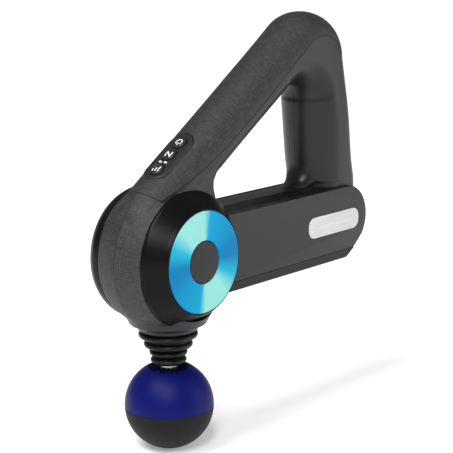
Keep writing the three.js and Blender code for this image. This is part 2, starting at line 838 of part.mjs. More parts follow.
function plateShape(grow) {
  const r = 5.6 + grow;
  const reach = PLATE.length / 2 + grow - r;
  const rise = PLATE.height / 2 + grow - r;
  const shape = new THREE.Shape();
  shape.absarc(PLATE.x + reach, PLATE.z - rise, r, -Math.PI / 2, 0, false);
  shape.absarc(PLATE.x + reach, PLATE.z + rise, r, 0, Math.PI / 2, false);
  shape.absarc(PLATE.x - reach, PLATE.z + rise, r, Math.PI / 2, Math.PI, false);
  shape.absarc(PLATE.x - reach, PLATE.z - rise, r, Math.PI, (3 * Math.PI) / 2, false);
  return shape;
}

const plateSeat = sidePrism(plateShape(GAP), -PANEL_Y - 1, -PANEL_Y + PLATE.depth, 0, 4);
place("front_side_panel", cut(sidePanel(-1), plateSeat), FINISH.shell);
place("rear_side_panel", sidePanel(1), FINISH.shell);
place(
  "name_plate",
  sidePrism(plateShape(0), -PANEL_Y - 0.4, -PANEL_Y + PLATE.depth - GAP, 0.25, 4),
  FINISH.silver,
);

const KEEL_TOP_Z = BAR_FLOOR_Z - GAP;
const KEEL_TOP_HALF_WIDTH = 18.6;
const KEEL_START_X = 20;
const SCREW_HEAD_R = 2.6;
const keelBody = endPrism(
  [
    [-KEEL_TOP_HALF_WIDTH, KEEL_TOP_Z],
    [-KEEL_HALF_WIDTH, KEEL_Z],
    [KEEL_HALF_WIDTH, KEEL_Z],
    [KEEL_TOP_HALF_WIDTH, KEEL_TOP_Z],
  ],
  KEEL_START_X,
  160,
).intersect(
  sidePrism(
    polygon([
      [KEEL_START_X, KEEL_TOP_Z],
      [KEEL_START_X, KEEL_Z],
      [145.2, KEEL_Z],
      [150.3, KEEL_TOP_Z],
    ]),
    -30,
    30,
  ),
);
const keelSeats = COVER_SCREWS.map(([x, y]) =>
  joined(
    rodZ(SCREW_HEAD_R + GAP, KEEL_Z - 1, KEEL_Z + 1.9, x, y, 24),
    rodZ(SCREW_SHANK_R + GAP, KEEL_Z, KEEL_TOP_Z + 1, x, y),
  ),
);
place(
  "battery_cover",
  largest(
    cut(
      keelBody,
      block(46.5, 134, -13, 13, -23.3, KEEL_TOP_Z + 1),
      aboutY(rodProfile(DRUM_CROWN_R + GAP, -COVER_EDGE_Y, COVER_EDGE_Y)),
      coverTools,
      ...keelSeats,
    ),
  ),
  FINISH.keel,
);
COVER_SCREWS.forEach(([x, y], i) => {
  const head = rodZ(SCREW_HEAD_R, KEEL_Z + 0.3, KEEL_Z + 1.6, x, y, 24);
  const shank = rodZ(SCREW_SHANK_R, KEEL_Z + 1, -17.4, x, y);
  const slot = block(x - 1.8, x + 1.8, y - 0.4, y + 0.4, KEEL_Z, KEEL_Z + 0.9);
  const cross = block(x - 0.4, x + 0.4, y - 1.8, y + 1.8, KEEL_Z, KEEL_Z + 0.9);
  place("battery_cover_screw_" + (i + 1), cut(joined(head, shank), slot, cross), FINISH.steel);
});

// ---------------------------------------------------------------- control panel and buttons
const PANEL_TOP = 45.1;
const PANEL_BASE = 41.8;
const PANEL_RIM = 1.7; // width of the rim round the panel's sunk face
const PANEL_SUNK = 0.5;
const FLANGE_R = BUTTON_R + 0.6;
const panelHoles = BUTTONS.map(([, along]) => armRod(BUTTON_R + GAP, 40, 50, along));

// Two short light bars side by side across the panel, on one base under it.
const LIGHT_BAR_Y = [-1.8, 1.8];
function lightBars(grow, low, high) {
  const bars = LIGHT_BAR_Y.map((y) => {
    const bar = new THREE.BoxGeometry(0.9 + 2 * grow, 1.8 + 2 * grow, high - low);
    return layOnArm(bar.translate(0, y, (high - low) / 2), low, LIGHTS_AT);
  });
  return joined(...bars);
}

place(
  "control_panel",
  cut(
    armPlate(stadium(PANEL_LENGTH, PANEL_WIDTH), PANEL_BASE, PANEL_TOP, 0.8),
    armPlate(
      stadium(PANEL_LENGTH - 2 * PANEL_RIM, PANEL_WIDTH - 2 * PANEL_RIM),
      PANEL_TOP - PANEL_SUNK,
      PANEL_TOP + 1,
    ),
    ...panelHoles,
    lightBars(GAP, 40, 50),
  ),
  FINISH.cover,
);
for (const [name, along] of BUTTONS) {
  const cap = armRod(BUTTON_R, PANEL_BASE - 1.4, PANEL_TOP + 0.2, along);
  const flange = armRod(FLANGE_R, PANEL_BASE - 1.4, PANEL_BASE - GAP, along);
  place(name, joined(cap, flange), FINISH.hub);
}
const lightBase = new THREE.BoxGeometry(1.6, 7.4, 0.9);
place(
  "status_lights",
  joined(
    lightBars(0, PANEL_BASE - 1, PANEL_TOP - 0.45),
    layOnArm(lightBase.translate(0, 0, 0.45), PANEL_BASE - 1.3, LIGHTS_AT),
  ),
  FINISH.light,
);
place("button_board", armPlate(stadium(PANEL_LENGTH - 4, PANEL_WIDTH - 5), 37.4, 39), FINISH.board);

// ---------------------------------------------------------------- percussion rod and its guide
const BUSH_OUTER_R = 8;
const BUSH_INNER_R = ROD_R + 0.08;
const GUIDE_BOTTOM_Z = -41.4;
const ROD_TOP_Z = -9.5;
place(
  "guide_block",
  aboutZ(tubeProfile(BUSH_OUTER_R + GAP, GUIDE_R, GUIDE_BOTTOM_Z, GUIDE_TOP_Z), SMALL_TURNS),
  FINISH.steel,
);
const BUSHES = [
  ["upper_bushing", -28, -19.8],
  ["lower_bushing", -40.6, -32.4],
];
for (const [name, low, high] of BUSHES) {
  place(name, aboutZ(tubeProfile(BUSH_INNER_R, BUSH_OUTER_R, low, high), SMALL_TURNS), FINISH.bronze);
}

const RING_GROOVE_Z = -75;
place(
  "percussion_rod",
  aboutZ(
    [
      [0, -82],
      [NOSE_R - 0.8, -82],
      [NOSE_R, -81.2],
      [NOSE_R, RING_GROOVE_Z - 1.2],
      [NOSE_R - 1, RING_GROOVE_Z - 1.2],
      [NOSE_R - 1, RING_GROOVE_Z + 1.2],
      [NOSE_R, RING_GROOVE_Z + 1.2],
      [NOSE_R, ROD_SHOULDER_Z],
      [5.5, ROD_SHOULDER_Z],
      [5.5, -61.3],
      [ROD_R, -61.3],
      [ROD_R, ROD_TOP_Z],
      [0, ROD_TOP_Z],
    ],
    SMALL_TURNS,
  ),
  FINISH.steel,
);
place(
  "rod_o_ring",
  aboutZ(
    [
      [NOSE_R + 0.15, RING_GROOVE_Z - 0.4],
      [NOSE_R + 0.15, RING_GROOVE_Z + 0.4],
      [NOSE_R - 0.3, RING_GROOVE_Z + 0.8],
      [NOSE_R - 0.7, RING_GROOVE_Z + 0.4],
      [NOSE_R - 0.7, RING_GROOVE_Z - 0.4],
      [NOSE_R - 0.3, RING_GROOVE_Z - 0.8],
      [NOSE_R + 0.15, RING_GROOVE_Z - 0.4],
    ],
    SMALL_TURNS,
  ),
  FINISH.rubber,
);

// The yoke's slot runs across the rod; the crank's roller slides in it, with room for the
// difference between the crank's circle and a steady slide.
const YOKE_HALF_DEPTH = 3;
const SLOT_HALF_HEIGHT = 5.7;
const YOKE_HALF_HEIGHT = 9.2;
const YOKE_LENGTH = 34;
const YOKE_SEGMENTS = 6;
const yokeSlot = sidePrism(
  stadium(2 * (CRANK_R + SLOT_HALF_HEIGHT), 2 * SLOT_HALF_HEIGHT),
  -YOKE_HALF_DEPTH - 1,
  YOKE_HALF_DEPTH + 1,
  0,
  YOKE_SEGMENTS,
);
place(
  "yoke",
  cut(
    sidePrism(
      stadium(YOKE_LENGTH, 2 * YOKE_HALF_HEIGHT),
      -YOKE_HALF_DEPTH,
      YOKE_HALF_DEPTH,
      0.6,
      YOKE_SEGMENTS,
    ),
    yokeSlot,
  ),
  FINISH.steel,
);

// Rubber boot: three rings that grow smaller towards the ball, on a thin wall round the rod.
const BOOT_RINGS = [
  [16.6, -44.4, 1.5],
  [13.65, -50, 1.5],
  [10.65, -54.7, 1.4],
  [10.05, -59.2, 1.3],
];
function bootProfile() {
  const outer = [];
  const inner = [];
  for (const [r, z, bulge] of BOOT_RINGS) {
    outer.push([r - 1.1, z + bulge], [r, z], [r - 1.1, z - bulge]);
    inner.push([r - 2.8, z]);
  }
  const top = NECK_Z - GAP;
  const bottom = -60.9;
  return [
    ...outer.reverse(),
    [14.9, top],
    [12.6, top],
    ...inner,
    [ROD_R + GAP, -58.6],
    [ROD_R + GAP, bottom],
    [8.9, bottom],
    outer[0],
  ];
}
place("boot", aboutZ(bootProfile(), SMALL_TURNS), FINISH.rubber);

// ---------------------------------------------------------------- motor and crank
const AXLE_R = 2.3;
const CRANK_FACE_Y = 5.4; // clears the rod, which is 5 mm in radius
const CRANK_BACK_Y = 8.2;
const CRANK_DISC_R = 9;
const CRANK_PIN_R = 2;
const ROLLER_R = 4;
place(
  "crank_wheel",
  cut(
    joined(
      rodY(CRANK_DISC_R, CRANK_FACE_Y, CRANK_BACK_Y),
      sidePrism(crankWeight(), CRANK_FACE_Y, CRANK_BACK_Y, 0, 6),
    ),
    rodY(AXLE_R + GAP, 2, 10),
    rodY(CRANK_PIN_R + GAP, 2, 10, -CRANK_R, 0),
  ),
  FINISH.steel,
);
// The counterweight is a sector opposite the crank pin.
function crankWeight() {
  const shape = new THREE.Shape();
  shape.absarc(0, 0, 15, -1.1, 1.1, false);
  shape.lineTo(-4, 5);
  shape.lineTo(-4, -5);
  return shape;
}
const roller = latheGeometry(tubeProfile(CRANK_PIN_R + GAP, ROLLER_R, -2.8, 2.8), 24);
place("crank_pin", rodY(CRANK_PIN_R, -3.4, 7.8, -CRANK_R, 0, 24), FINISH.steel);
place(
  "crank_roller",
  solid(roller.translate(-CRANK_R, 0, 0)),
  FINISH.steel,
);
place("motor_shaft", rodY(AXLE_R, 5.6, 22.8), FINISH.steel);
place(
  "rotor_can",
  aboutY([
    [AXLE_R + GAP, 8.6],
    [17.6, 8.6],
    [18.3, 9.4],
    [18.3, 20.4],
    [16.1, 20.4],
    [16.1, 10.4],
    [AXLE_R + GAP, 10.4],
    [AXLE_R + GAP, 8.6],
  ]),
  FINISH.steel,
);
place("stator", aboutY(tubeProfile(7.6, 15.5, 11.6, 20), SMALL_TURNS), FINISH.copper);
const BASE_R = 24;
const BASE_LOW_Y = 21.9;
const BASE_HIGH_Y = 23.9;
const POST_INNER_R = 6.1;
const POST_OUTER_R = 7.3;
const POST_LOW_Y = 11.2;
const MOTOR_SCREW_HEAD_R = 2.3;
const baseHoles = MOTOR_SCREW_ANGLES.map((degrees) => {
  const [x, z] = motorScrewAt(degrees);
  return rodY(MOTOR_SHANK_R + GAP, BASE_LOW_Y - 1, BASE_HIGH_Y + 1, x, z);
});
place(
  "motor_base",
  cut(
    aboutY([
      [POST_INNER_R, POST_LOW_Y],
      [POST_OUTER_R, POST_LOW_Y],
      [POST_OUTER_R, BASE_LOW_Y],
      [BASE_R, BASE_LOW_Y],
      [BASE_R, BASE_HIGH_Y],
      [POST_INNER_R, BASE_HIGH_Y],
      [POST_INNER_R, POST_LOW_Y],
    ]),
    ...baseHoles,
  ),
  FINISH.steel,
);
const BEARINGS = [
  ["front_motor_bearing", 11.4, 14.4],
  ["rear_motor_bearing", 19.6, 22.6],
];
for (const [name, low, high] of BEARINGS) {
  place(name, aboutY(tubeProfile(AXLE_R + 0.08, 5.8, low, high), SMALL_TURNS), FINISH.steel);
}
MOTOR_SCREW_ANGLES.forEach((degrees, i) => {
  const [x, z] = motorScrewAt(degrees);
  const head = rodY(MOTOR_SCREW_HEAD_R, BASE_LOW_Y - 1.7, BASE_LOW_Y - GAP, x, z);
  const screw = joined(head, rodY(MOTOR_SHANK_R, BASE_LOW_Y - 1, RECESS_Y - 0.5, x, z));
  place("motor_screw_" + (i + 1), screw, FINISH.steel);
});

// ---------------------------------------------------------------- battery, board and socket
const CELL_R = 9.1;
const CELL_START_X = 50;
const CELL_END_X = 115;
const CELLS = [
  ["lower_battery_cell", -12.9],
  ["upper_battery_cell", 6.3],
];
for (const [name, z] of CELLS) {
  place(name, rodX(CELL_R, CELL_START_X, CELL_END_X, 0, z), FINISH.cell);
}
place(
  "battery_holder",
  joined(
    block(47.2, 49.6, -10.5, 11.8, -20, 14),
    block(115.4, 117.8, -10.5, 11.8, -20, 14),
    block(47.2, 117.8, 10, 11.8, -8, 2),
  ),
  FINISH.hub,
);
place("main_board", block(121, 156.5, -12.4, 12.4, -4.4, -2.8), FINISH.board);
place(
  "charge_socket",
  cut(
    rodX(SOCKET_R, 148, 161.6, 0, SOCKET_Z),
    rodX(2.9, 153, 164, 0, SOCKET_Z, 24),
  ),
  FINISH.rubber,
);

// ---------------------------------------------------------------- ball head
function arcProfile(from, to, steps, r, centre) {
  const points = [];
  for (let i = 0; i <= steps; i++) {
    const angle = THREE.MathUtils.lerp(from, to, i / steps);
    points.push([r * Math.cos(angle), centre + r * Math.sin(angle)]);
  }
  return points;
}
const SOCKET_OUTER_R = 7;
const SOCKET_FLOOR_Z = -83;
const splitAngle = Math.asin((BALL_SPLIT_Z + GAP / 2 - BALL_Z) / BALL_R);
const craterAngle = Math.asin((CRATER_RIM_Z - BALL_Z) / BALL_R);
place(
  "ball_upper",
  aboutZ(
    [
      [SOCKET_OUTER_R + GAP, BALL_SPLIT_Z + GAP / 2],
      ...arcProfile(splitAngle, craterAngle, 6, BALL_R, BALL_Z),
      [CRATER_R - 1, CRATER_RIM_Z - 0.4],
      [CRATER_R - 2, CRATER_FLOOR_Z + 0.8],
      [CRATER_R - 3, CRATER_FLOOR_Z],
      [SOCKET_OUTER_R + GAP, CRATER_FLOOR_Z],
      [SOCKET_OUTER_R + GAP, BALL_SPLIT_Z + GAP / 2],
    ],
    BALL_TURNS,
  ),
  FINISH.blue,
);
const lowerAngle = Math.asin((BALL_SPLIT_Z - GAP / 2 - BALL_Z) / BALL_R);
const lowerArc = arcProfile(-Math.PI / 2, lowerAngle, 7, BALL_R, BALL_Z);
lowerArc[0][0] = 0;
place("ball_lower", aboutZ([...lowerArc, [0, BALL_SPLIT_Z - GAP / 2]], BALL_TURNS), FINISH.rubber);
place(
  "ball_socket",
  aboutZ(
    [
      [0, BALL_Z],
      [SOCKET_OUTER_R, BALL_Z],
      [SOCKET_OUTER_R, CRATER_FLOOR_Z + 0.8],
      [NOSE_R + GAP, CRATER_FLOOR_Z + 0.8],
      [NOSE_R + GAP, SOCKET_FLOOR_Z],
      [0, SOCKET_FLOOR_Z],
    ],
    SMALL_TURNS,
  ),
  FINISH.hub,
);

export default model;
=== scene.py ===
"""Looks of the percussive massage gun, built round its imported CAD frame.

Shapes are drawn in millimetres about the drum's centre, with X along the battery bar, Y along the
motor's axis and Z along the percussion rod, and are then set down on the frame in metres.
"""
import json
import math

import bmesh
import bpy
import numpy as np
from mathutils import Matrix, Vector

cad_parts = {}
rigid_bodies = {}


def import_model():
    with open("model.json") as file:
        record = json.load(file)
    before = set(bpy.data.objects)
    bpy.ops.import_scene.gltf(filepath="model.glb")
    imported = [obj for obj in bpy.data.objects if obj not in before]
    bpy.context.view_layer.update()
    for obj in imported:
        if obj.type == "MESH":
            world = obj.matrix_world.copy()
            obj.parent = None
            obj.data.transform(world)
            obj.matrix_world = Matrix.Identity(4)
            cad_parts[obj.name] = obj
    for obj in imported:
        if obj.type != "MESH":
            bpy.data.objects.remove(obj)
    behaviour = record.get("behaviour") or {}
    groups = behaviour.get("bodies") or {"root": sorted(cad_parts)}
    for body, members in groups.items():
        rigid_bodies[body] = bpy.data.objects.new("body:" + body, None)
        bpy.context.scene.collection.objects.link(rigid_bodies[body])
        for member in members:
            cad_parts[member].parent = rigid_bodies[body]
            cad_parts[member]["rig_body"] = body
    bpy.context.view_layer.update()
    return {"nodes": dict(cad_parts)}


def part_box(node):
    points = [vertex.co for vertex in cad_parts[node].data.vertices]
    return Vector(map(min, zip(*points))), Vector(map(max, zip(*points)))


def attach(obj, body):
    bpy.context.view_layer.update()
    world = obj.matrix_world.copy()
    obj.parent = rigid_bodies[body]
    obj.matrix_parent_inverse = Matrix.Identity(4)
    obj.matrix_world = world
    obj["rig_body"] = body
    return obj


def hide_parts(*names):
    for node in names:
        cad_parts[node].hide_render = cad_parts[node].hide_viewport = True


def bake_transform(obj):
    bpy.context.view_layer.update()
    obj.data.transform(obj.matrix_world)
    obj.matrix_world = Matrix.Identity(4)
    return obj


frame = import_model()

MM = 0.001


def box_centre(node):
    low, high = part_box(node)
    return (low + high) / 2


DRUM = box_centre("front_accent_ring")
DRUM.y = 0.0

# ------------------------------------------------------------------ driving dimensions, mm
GAP = 0.3
COVER_GAP = 0.12  # the seam round each drum cover
TURNS = 160
FAR = 400.0

DRUM_CROWN_R = 41.5
DRUM_RIM_R = 37.7
DRUM_RIM_Y = 15.8
COVER_EDGE_Y = 15.7
COVER_TOP_R = 28.9
COVER_TOP_Y = 27.3
BAND_EDGE_Y = 15.4
DRUM_CAVITY_R = 33.2
RING_OUTER_R = 28.0
RING_INNER_R = 11.9
RING_FACE_Y = 27.75
RECESS_Y = 26.1
SKIN = 1.6
WALL = 2.5

ARM_ANGLE = math.radians(33.5)
ALONG = np.array([math.cos(ARM_ANGLE), math.sin(ARM_ANGLE)])
OUT = np.array([-math.sin(ARM_ANGLE), math.cos(ARM_ANGLE)])
ARM_BACK = 44.7
ARM_EDGE = 28.5
APEX = np.array([105.0, 73.7])
APEX_EDGE_R = 25.0
CROWN = np.array([118.2, 99.7])
CROWN_R = 26.8
SLOPE_BULGE, APEX_BULGE = 12.8, 17.5
BULGE_POWER = 1.3
SLOPE_ROUNDING, REAR_ROUNDING = 14.7, 12.0
REAR_LEAN = math.atan2(5.5, 35)
REAR_OUT = np.array([math.cos(REAR_LEAN), math.sin(REAR_LEAN)])
REAR_BACK_DISTANCE = float(np.dot([150, 70], REAR_OUT))

BAR_TOP_Z = 22.4
BAR_LIP_Z = 20.1
BAR_FLOOR_Z = -19.1
BAR_HALF_WIDTH = 16.2
PANEL_Y = 19.0
PANEL_INNER_Y = 16.5
BAR_END_R = 19.8
BAR_END_X = 143.0
BAR_END_Z = 0.3
# The side panels and the battery cover are drawn from here, inside the drum, which is then cut from them.
BAR_PARTS_X = 20
KEEL_Z = -25.3

NECK_Z = -42.2
NECK_TOP_Z = -20
BALL_R = 25.0
BALL_Z = -85.2
BALL_SPLIT_Z = -85.8

PANEL_AT = 32.0
PANEL_TOP = 45.1
PANEL_CROWN = 0.018  # how fast the control panel falls away from its middle line, 1/mm
PANEL_LENGTH, PANEL_WIDTH = 38.0, 16.5
BUTTONS = {"power_button": 43.0, "mode_button": 33.0, "level_button": 21.0}
BUTTON_R = 4.2
LIGHTS_AT = 27.0


# ------------------------------------------------------------------ mesh tools
def make(name, points, faces):
    """A mesh object from points in millimetres about the drum's centre."""
    mesh = bpy.data.meshes.new(name)
    places = np.asarray(points, float) * MM + np.array(DRUM)
    mesh.from_pydata([tuple(p) for p in places], [], [tuple(f) for f in faces])
    edit = bmesh.new()
    edit.from_mesh(mesh)
    bmesh.ops.remove_doubles(edit, verts=edit.verts, dist=1e-7)
    bmesh.ops.recalc_face_normals(edit, faces=edit.faces)
    edit.to_mesh(mesh)
    edit.free()
    obj = bpy.data.objects.new(name, mesh)
    bpy.context.scene.collection.objects.link(obj)
    return obj


def skinned(name, rings, closed=True):
    """Rings of equal length joined into one body, with flat caps unless the rings close on themselves."""
    count = len(rings[0])
    last = len(rings)
    faces = []
    for i in range(last if not closed else last - 1):
        for j in range(count):
            k = (j + 1) % count
            n = (i + 1) % last
            faces.append((i * count + j, i * count + k, n * count + k, n * count + j))
    if closed:
        faces.append(tuple(range(count)))
        faces.append(tuple(range((last - 1) * count, last * count)))
    return make(name, np.concatenate(rings), faces)


def lathe(name, profile, axis="Y", turns=TURNS):
    """A closed profile of (radius, height) turned about Y or Z."""
    rings = []
    for i in range(turns):
        angle = 2 * math.pi * i / turns
        across = np.array([math.cos(angle), math.sin(angle)])
        if axis == "Y":
            ring = [(r * across[0], h, r * across[1]) for r, h in profile]
        else:
            ring = [(r * across[0], r * across[1], h) for r, h in profile]
        rings.append(np.array(ring))
    return skinned(name, rings, closed=False)


def rounded(corners, closed=True, steps=5):
    """Corners of (x, y, radius) joined by straight lines, each turned with that radius."""
    points = []
    count = len(corners)
    for i, (x, y, radius) in enumerate(corners):
        here = np.array([x, y], float)
        if radius <= 0 or (not closed and i in (0, count - 1)):
            points.append(here)
            continue
        before = np.array(corners[i - 1][:2], float) - here
        after = np.array(corners[(i + 1) % count][:2], float) - here
        before /= np.linalg.norm(before)
        after /= np.linalg.norm(after)
        half = math.acos(float(np.clip(np.dot(before, after), -1, 1))) / 2
        middle = (before + after) / np.linalg.norm(before + after)
        centre = here + middle * radius / math.sin(half)
        start = here + before * radius / math.tan(half) - centre
        end = here + after * radius / math.tan(half) - centre
        from_angle = math.atan2(start[1], start[0])
        turn = math.atan2(end[1], end[0]) - from_angle
        turn = (turn + math.pi) % (2 * math.pi) - math.pi
        for k in range(steps + 1):
            angle = from_angle + turn * k / steps
            points.append(centre + radius * np.array([math.cos(angle), math.sin(angle)]))
    return [tuple(p) for p in points]


def arc(cx, cy, r, start, end, steps):
    """Points on an arc, with angles in degrees."""
    angles = np.radians(np.linspace(start, end, steps + 1))
    return [(cx + r * math.cos(a), cy + r * math.sin(a)) for a in angles]


def shrunk(outline, inset):
    """An outline moved inwards by inset all round."""
    points = np.array(outline, float)
    ahead = np.roll(points, -1, axis=0) - points
    ahead /= np.linalg.norm(ahead, axis=1)[:, None]
    normals = np.stack([-ahead[:, 1], ahead[:, 0]], axis=1)
    x, y = points[:, 0], points[:, 1]
    if np.sum(x * np.roll(y, -1) - y * np.roll(x, -1)) < 0:
        normals = -normals
    before = np.roll(normals, 1, axis=0)
    mitre = normals + before
    mitre /= np.maximum(np.sum(mitre * normals, axis=1), 0.2)[:, None]
    return points + inset * mitre


def plate(name, outline, low, high, round_low=0.0, round_high=0.0, place=None, steps=4):
    """A flat outline given thickness, with its rims rounded. place turns (u, v, height) into X, Y, Z."""
    levels = []
    for k in range(steps + 1 if round_low > 0 else 1):
        angle = math.pi / 2 * (1 - k / steps) if round_low > 0 else 0
        levels.append((round_low * (1 - math.cos(angle)), low + round_low * (1 - math.sin(angle))))
    for k in range(steps + 1 if round_high > 0 else 1):
        angle = math.pi / 2 * k / steps if round_high > 0 else 0
        levels.append((round_high * (1 - math.cos(angle)), high - round_high * (1 - math.sin(angle))))
    rings = []
    for inset, height in levels:
        flat = shrunk(outline, inset) if inset > 0 else np.array(outline, float)
        rings.append(np.array([place(u, v, height) for u, v in flat]))
    return skinned(name, rings)


def seen_from_side(u, v, height):
    return (u, height, v)


def seen_from_above(u, v, height):
    return (u, v, height)


def seen_from_end(u, v, height):
    return (height, u, v)


def on_arm(u, v, height):
    """u along the arm, v across it, height out from the drum's axis, over the arm's rounded back."""
    x, z = ALONG * u + OUT * (height - PANEL_CROWN * v**2)
    return (x, v, z)


def stadium(length, width, centre=0.0, steps=20):
    """Outline of a strip along u with half-round ends."""
    radius = width / 2
    reach = length / 2 - radius
    far_end = arc(centre + reach, 0, radius, -90, 90, steps)
    near_end = arc(centre - reach, 0, radius, 90, 270, steps)
    return far_end + near_end


def combine(obj, operation, *tools):
    """Adds the tools to a solid, cuts them from it, or keeps what it shares with them."""
    for tool in tools:
        modifier = obj.modifiers.new("bool", "BOOLEAN")
        modifier.operation = operation
        modifier.solver = "MANIFOLD"
        modifier.object = tool
        bpy.context.view_layer.update()
        settled = obj.evaluated_get(bpy.context.evaluated_depsgraph_get())
        mesh = bpy.data.meshes.new_from_object(settled)
        obj.modifiers.clear()
        old = obj.data
        obj.data = mesh
        bpy.data.meshes.remove(old)
    return obj


def join(obj, *tools):
    return combine(obj, "UNION", *tools)


def cut(obj, *tools):
    return combine(obj, "DIFFERENCE", *tools)


def keep(obj, *tools):
    return combine(obj, "INTERSECT", *tools)


def copy(obj, name):
    twin = obj.copy()
    twin.data = obj.data.copy()
    twin.name = name
    bpy.context.scene.collection.objects.link(twin)
    return twin


def discard(*objects):
    for obj in objects:
        bpy.data.objects.remove(obj)


def block(x0, x1, y0, y1, z0, z1):
    outline = [(x0, z0), (x1, z0), (x1, z1), (x0, z1)]
    return plate("block", outline, y0, y1, place=seen_from_side)


def largest(obj):
    """Keeps the biggest connected piece of a mesh."""
    edit = bmesh.new()
    edit.from_mesh(obj.data)
    edit.verts.ensure_lookup_table()
    seen = set()
    islands = []
    for vert in edit.verts:
        if vert.index in seen:
            continue
        island = [vert]
        seen.add(vert.index)
        for each in island:
            for edge in each.link_edges:
                other = edge.other_vert(each)
                if other.index not in seen:
                    seen.add(other.index)
                    island.append(other)
        islands.append(island)
    islands.sort(key=len)
    extra = [vert for island in islands[:-1] for vert in island]
    bmesh.ops.delete(edit, geom=extra, context="VERTS")
    edit.to_mesh(obj.data)
    edit.free()
    return obj


def smooth(obj, degrees=30.0):
    obj.data.polygons.foreach_set("use_smooth", [True] * len(obj.data.polygons))
    obj.data.set_sharp_from_angle(angle=math.radians(degrees))
    obj.data.update()


def dress(obj, material, body="housing", nodes=(), degrees=30.0):
    """Finishes a piece: shading, material, the body it rides on and the nodes it stands for."""
    smooth(obj, degrees)
    obj.data.materials.clear()
    obj.data.materials.append(material)
    if body:
        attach(obj, body)
    if nodes:
        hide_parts(*nodes)
    return obj


# ------------------------------------------------------------------ materials
def srgb(r, g, b):
    def linear(c):
        c /= 255
        return c / 12.92 if c <= 0.04045 else ((c + 0.055) / 1.055) ** 2.4

    return (linear(r), linear(g), linear(b), 1.0)


class Shader:
    """A Principled material with short helpers for its procedural nodes."""

    def __init__(self, name, roughness=0.4, metallic=0.0, **sockets):
        self.material = bpy.data.materials.new(name)
        self.material.use_nodes = True
        self.nodes = self.material.node_tree.nodes
        self.links = self.material.node_tree.links
        self.principled = self.nodes["Principled BSDF"]
        self.principled.inputs["Roughness"].default_value = roughness
        self.principled.inputs["Metallic"].default_value = metallic
        for socket, value in sockets.items():
            self.principled.inputs[socket.replace("_", " ")].default_value = value
        coordinates = self.nodes.new("ShaderNodeTexCoord")
        self.place = coordinates.outputs["Object"]

    def link(self, a, b):
        self.links.new(a, b)

    def math(self, operation, a, b=0.0):
        node = self.nodes.new("ShaderNodeMath")
        node.operation = operation
        for socket, value in zip(node.inputs, (a, b)):
            if isinstance(value, bpy.types.NodeSocket):
                self.link(value, socket)
            else:
                socket.default_value = value
        return node.outputs[0]

    def mapped(self, scale, rotation=(0, 0, 0), offset=(0, 0, 0)):
        node = self.nodes.new("ShaderNodeMapping")
        node.inputs["Scale"].default_value = scale
        node.inputs["Rotation"].default_value = rotation
        node.inputs["Location"].default_value = offset
        self.link(self.place, node.inputs["Vector"])
        return node.outputs[0]

    def noise(self, scale, vector=None, detail=3.0, roughness=0.6):
        node = self.nodes.new("ShaderNodeTexNoise")
        node.inputs["Scale"].default_value = scale
        node.inputs["Detail"].default_value = detail
        node.inputs["Roughness"].default_value = roughness
        self.link(vector or self.place, node.inputs["Vector"])
        return node.outputs["Fac"]

    def ramp(self, value, stops, socket=None):
        node = self.nodes.new("ShaderNodeValToRGB")
        self.link(value, node.inputs[0])
        elements = node.color_ramp.elements
        while len(elements) < len(stops):
            elements.new(0.5)
        for element, (at, colour) in zip(elements, stops):
            element.position = at
            element.color = colour
        if socket:
            self.link(node.outputs[0], self.principled.inputs[socket])
        return node.outputs[0]

    def range(self, value, low, high, socket=None):
        node = self.nodes.new("ShaderNodeMapRange")
        node.inputs["To Min"].default_value = low
        node.inputs["To Max"].default_value = high
        self.link(value, node.inputs["Value"])
        if socket:
            self.link(node.outputs[0], self.principled.inputs[socket])
        return node.outputs[0]

    def bump(self, height, distance, strength=1.0):
        node = self.nodes.new("ShaderNodeBump")
        node.inputs["Distance"].default_value = distance
        node.inputs["Strength"].default_value = strength
        self.link(height, node.inputs["Height"])
        self.link(node.outputs[0], self.principled.inputs["Normal"])
        return node


def moulded(name, colour, roughness, grain=0.00002, spread=0.08, **sockets):
    """Satin moulded plastic: a fine grain, and a faint unevenness of tone and gloss."""
    shader = Shader(name, roughness, **sockets)
    patches = shader.noise(28.0, detail=2.0)
    dark = tuple(c * (1 - spread) for c in colour[:3]) + (1.0,)
    light = tuple(c * (1 + spread) for c in colour[:3]) + (1.0,)
    shader.ramp(patches, [(0.3, dark), (0.7, light)], "Base Color")
    shader.range(shader.noise(340.0), roughness - 0.05, roughness + 0.05, "Roughness")
    shader.bump(shader.noise(2600.0, detail=2.0), grain)
    return shader.material


def metal(name, colour, roughness, stretch=(1, 1, 12)):
    """Machined metal with fine turning marks."""
    shader = Shader(name, roughness, 1.0)
    marks = shader.noise(900.0, shader.mapped(stretch))
    dark = tuple(c * 0.85 for c in colour[:3]) + (1.0,)
    shader.ramp(marks, [(0.3, dark), (0.7, colour)], "Base Color")
    shader.range(marks, roughness - 0.06, roughness + 0.08, "Roughness")
    shader.bump(marks, 0.000008)
    return shader.material


SHELL = moulded("shell_plastic", srgb(22, 22, 24), 0.36, Specular_IOR_Level=0.32)
COVER = moulded("cover_plastic", srgb(10, 10, 11), 0.32, Specular_IOR_Level=0.1)
KEEL = moulded("keel_plastic", srgb(14, 13, 20), 0.5, Specular_IOR_Level=0.2)
HUB = moulded("hub_plastic", srgb(34, 34, 35), 0.5, Specular_IOR_Level=0.25)
PANEL = moulded("control_panel_plastic", srgb(26, 26, 28), 0.42, Specular_IOR_Level=0.4)
BUTTON = moulded("button_plastic", srgb(20, 20, 21), 0.4)
RUBBER = moulded("boot_rubber", srgb(8, 8, 8), 0.42, grain=0.00003, Specular_IOR_Level=0.25)
BALL_BLACK = moulded("ball_black_rubber", srgb(13, 13, 15), 0.62, grain=0.00004, Specular_IOR_Level=0.2)
BALL_BLUE = moulded("ball_blue_rubber", srgb(4, 12, 88), 0.45, grain=0.00004, Specular_IOR_Level=0.12)
ICON = moulded("icon_print", srgb(245, 246, 248), 0.4)
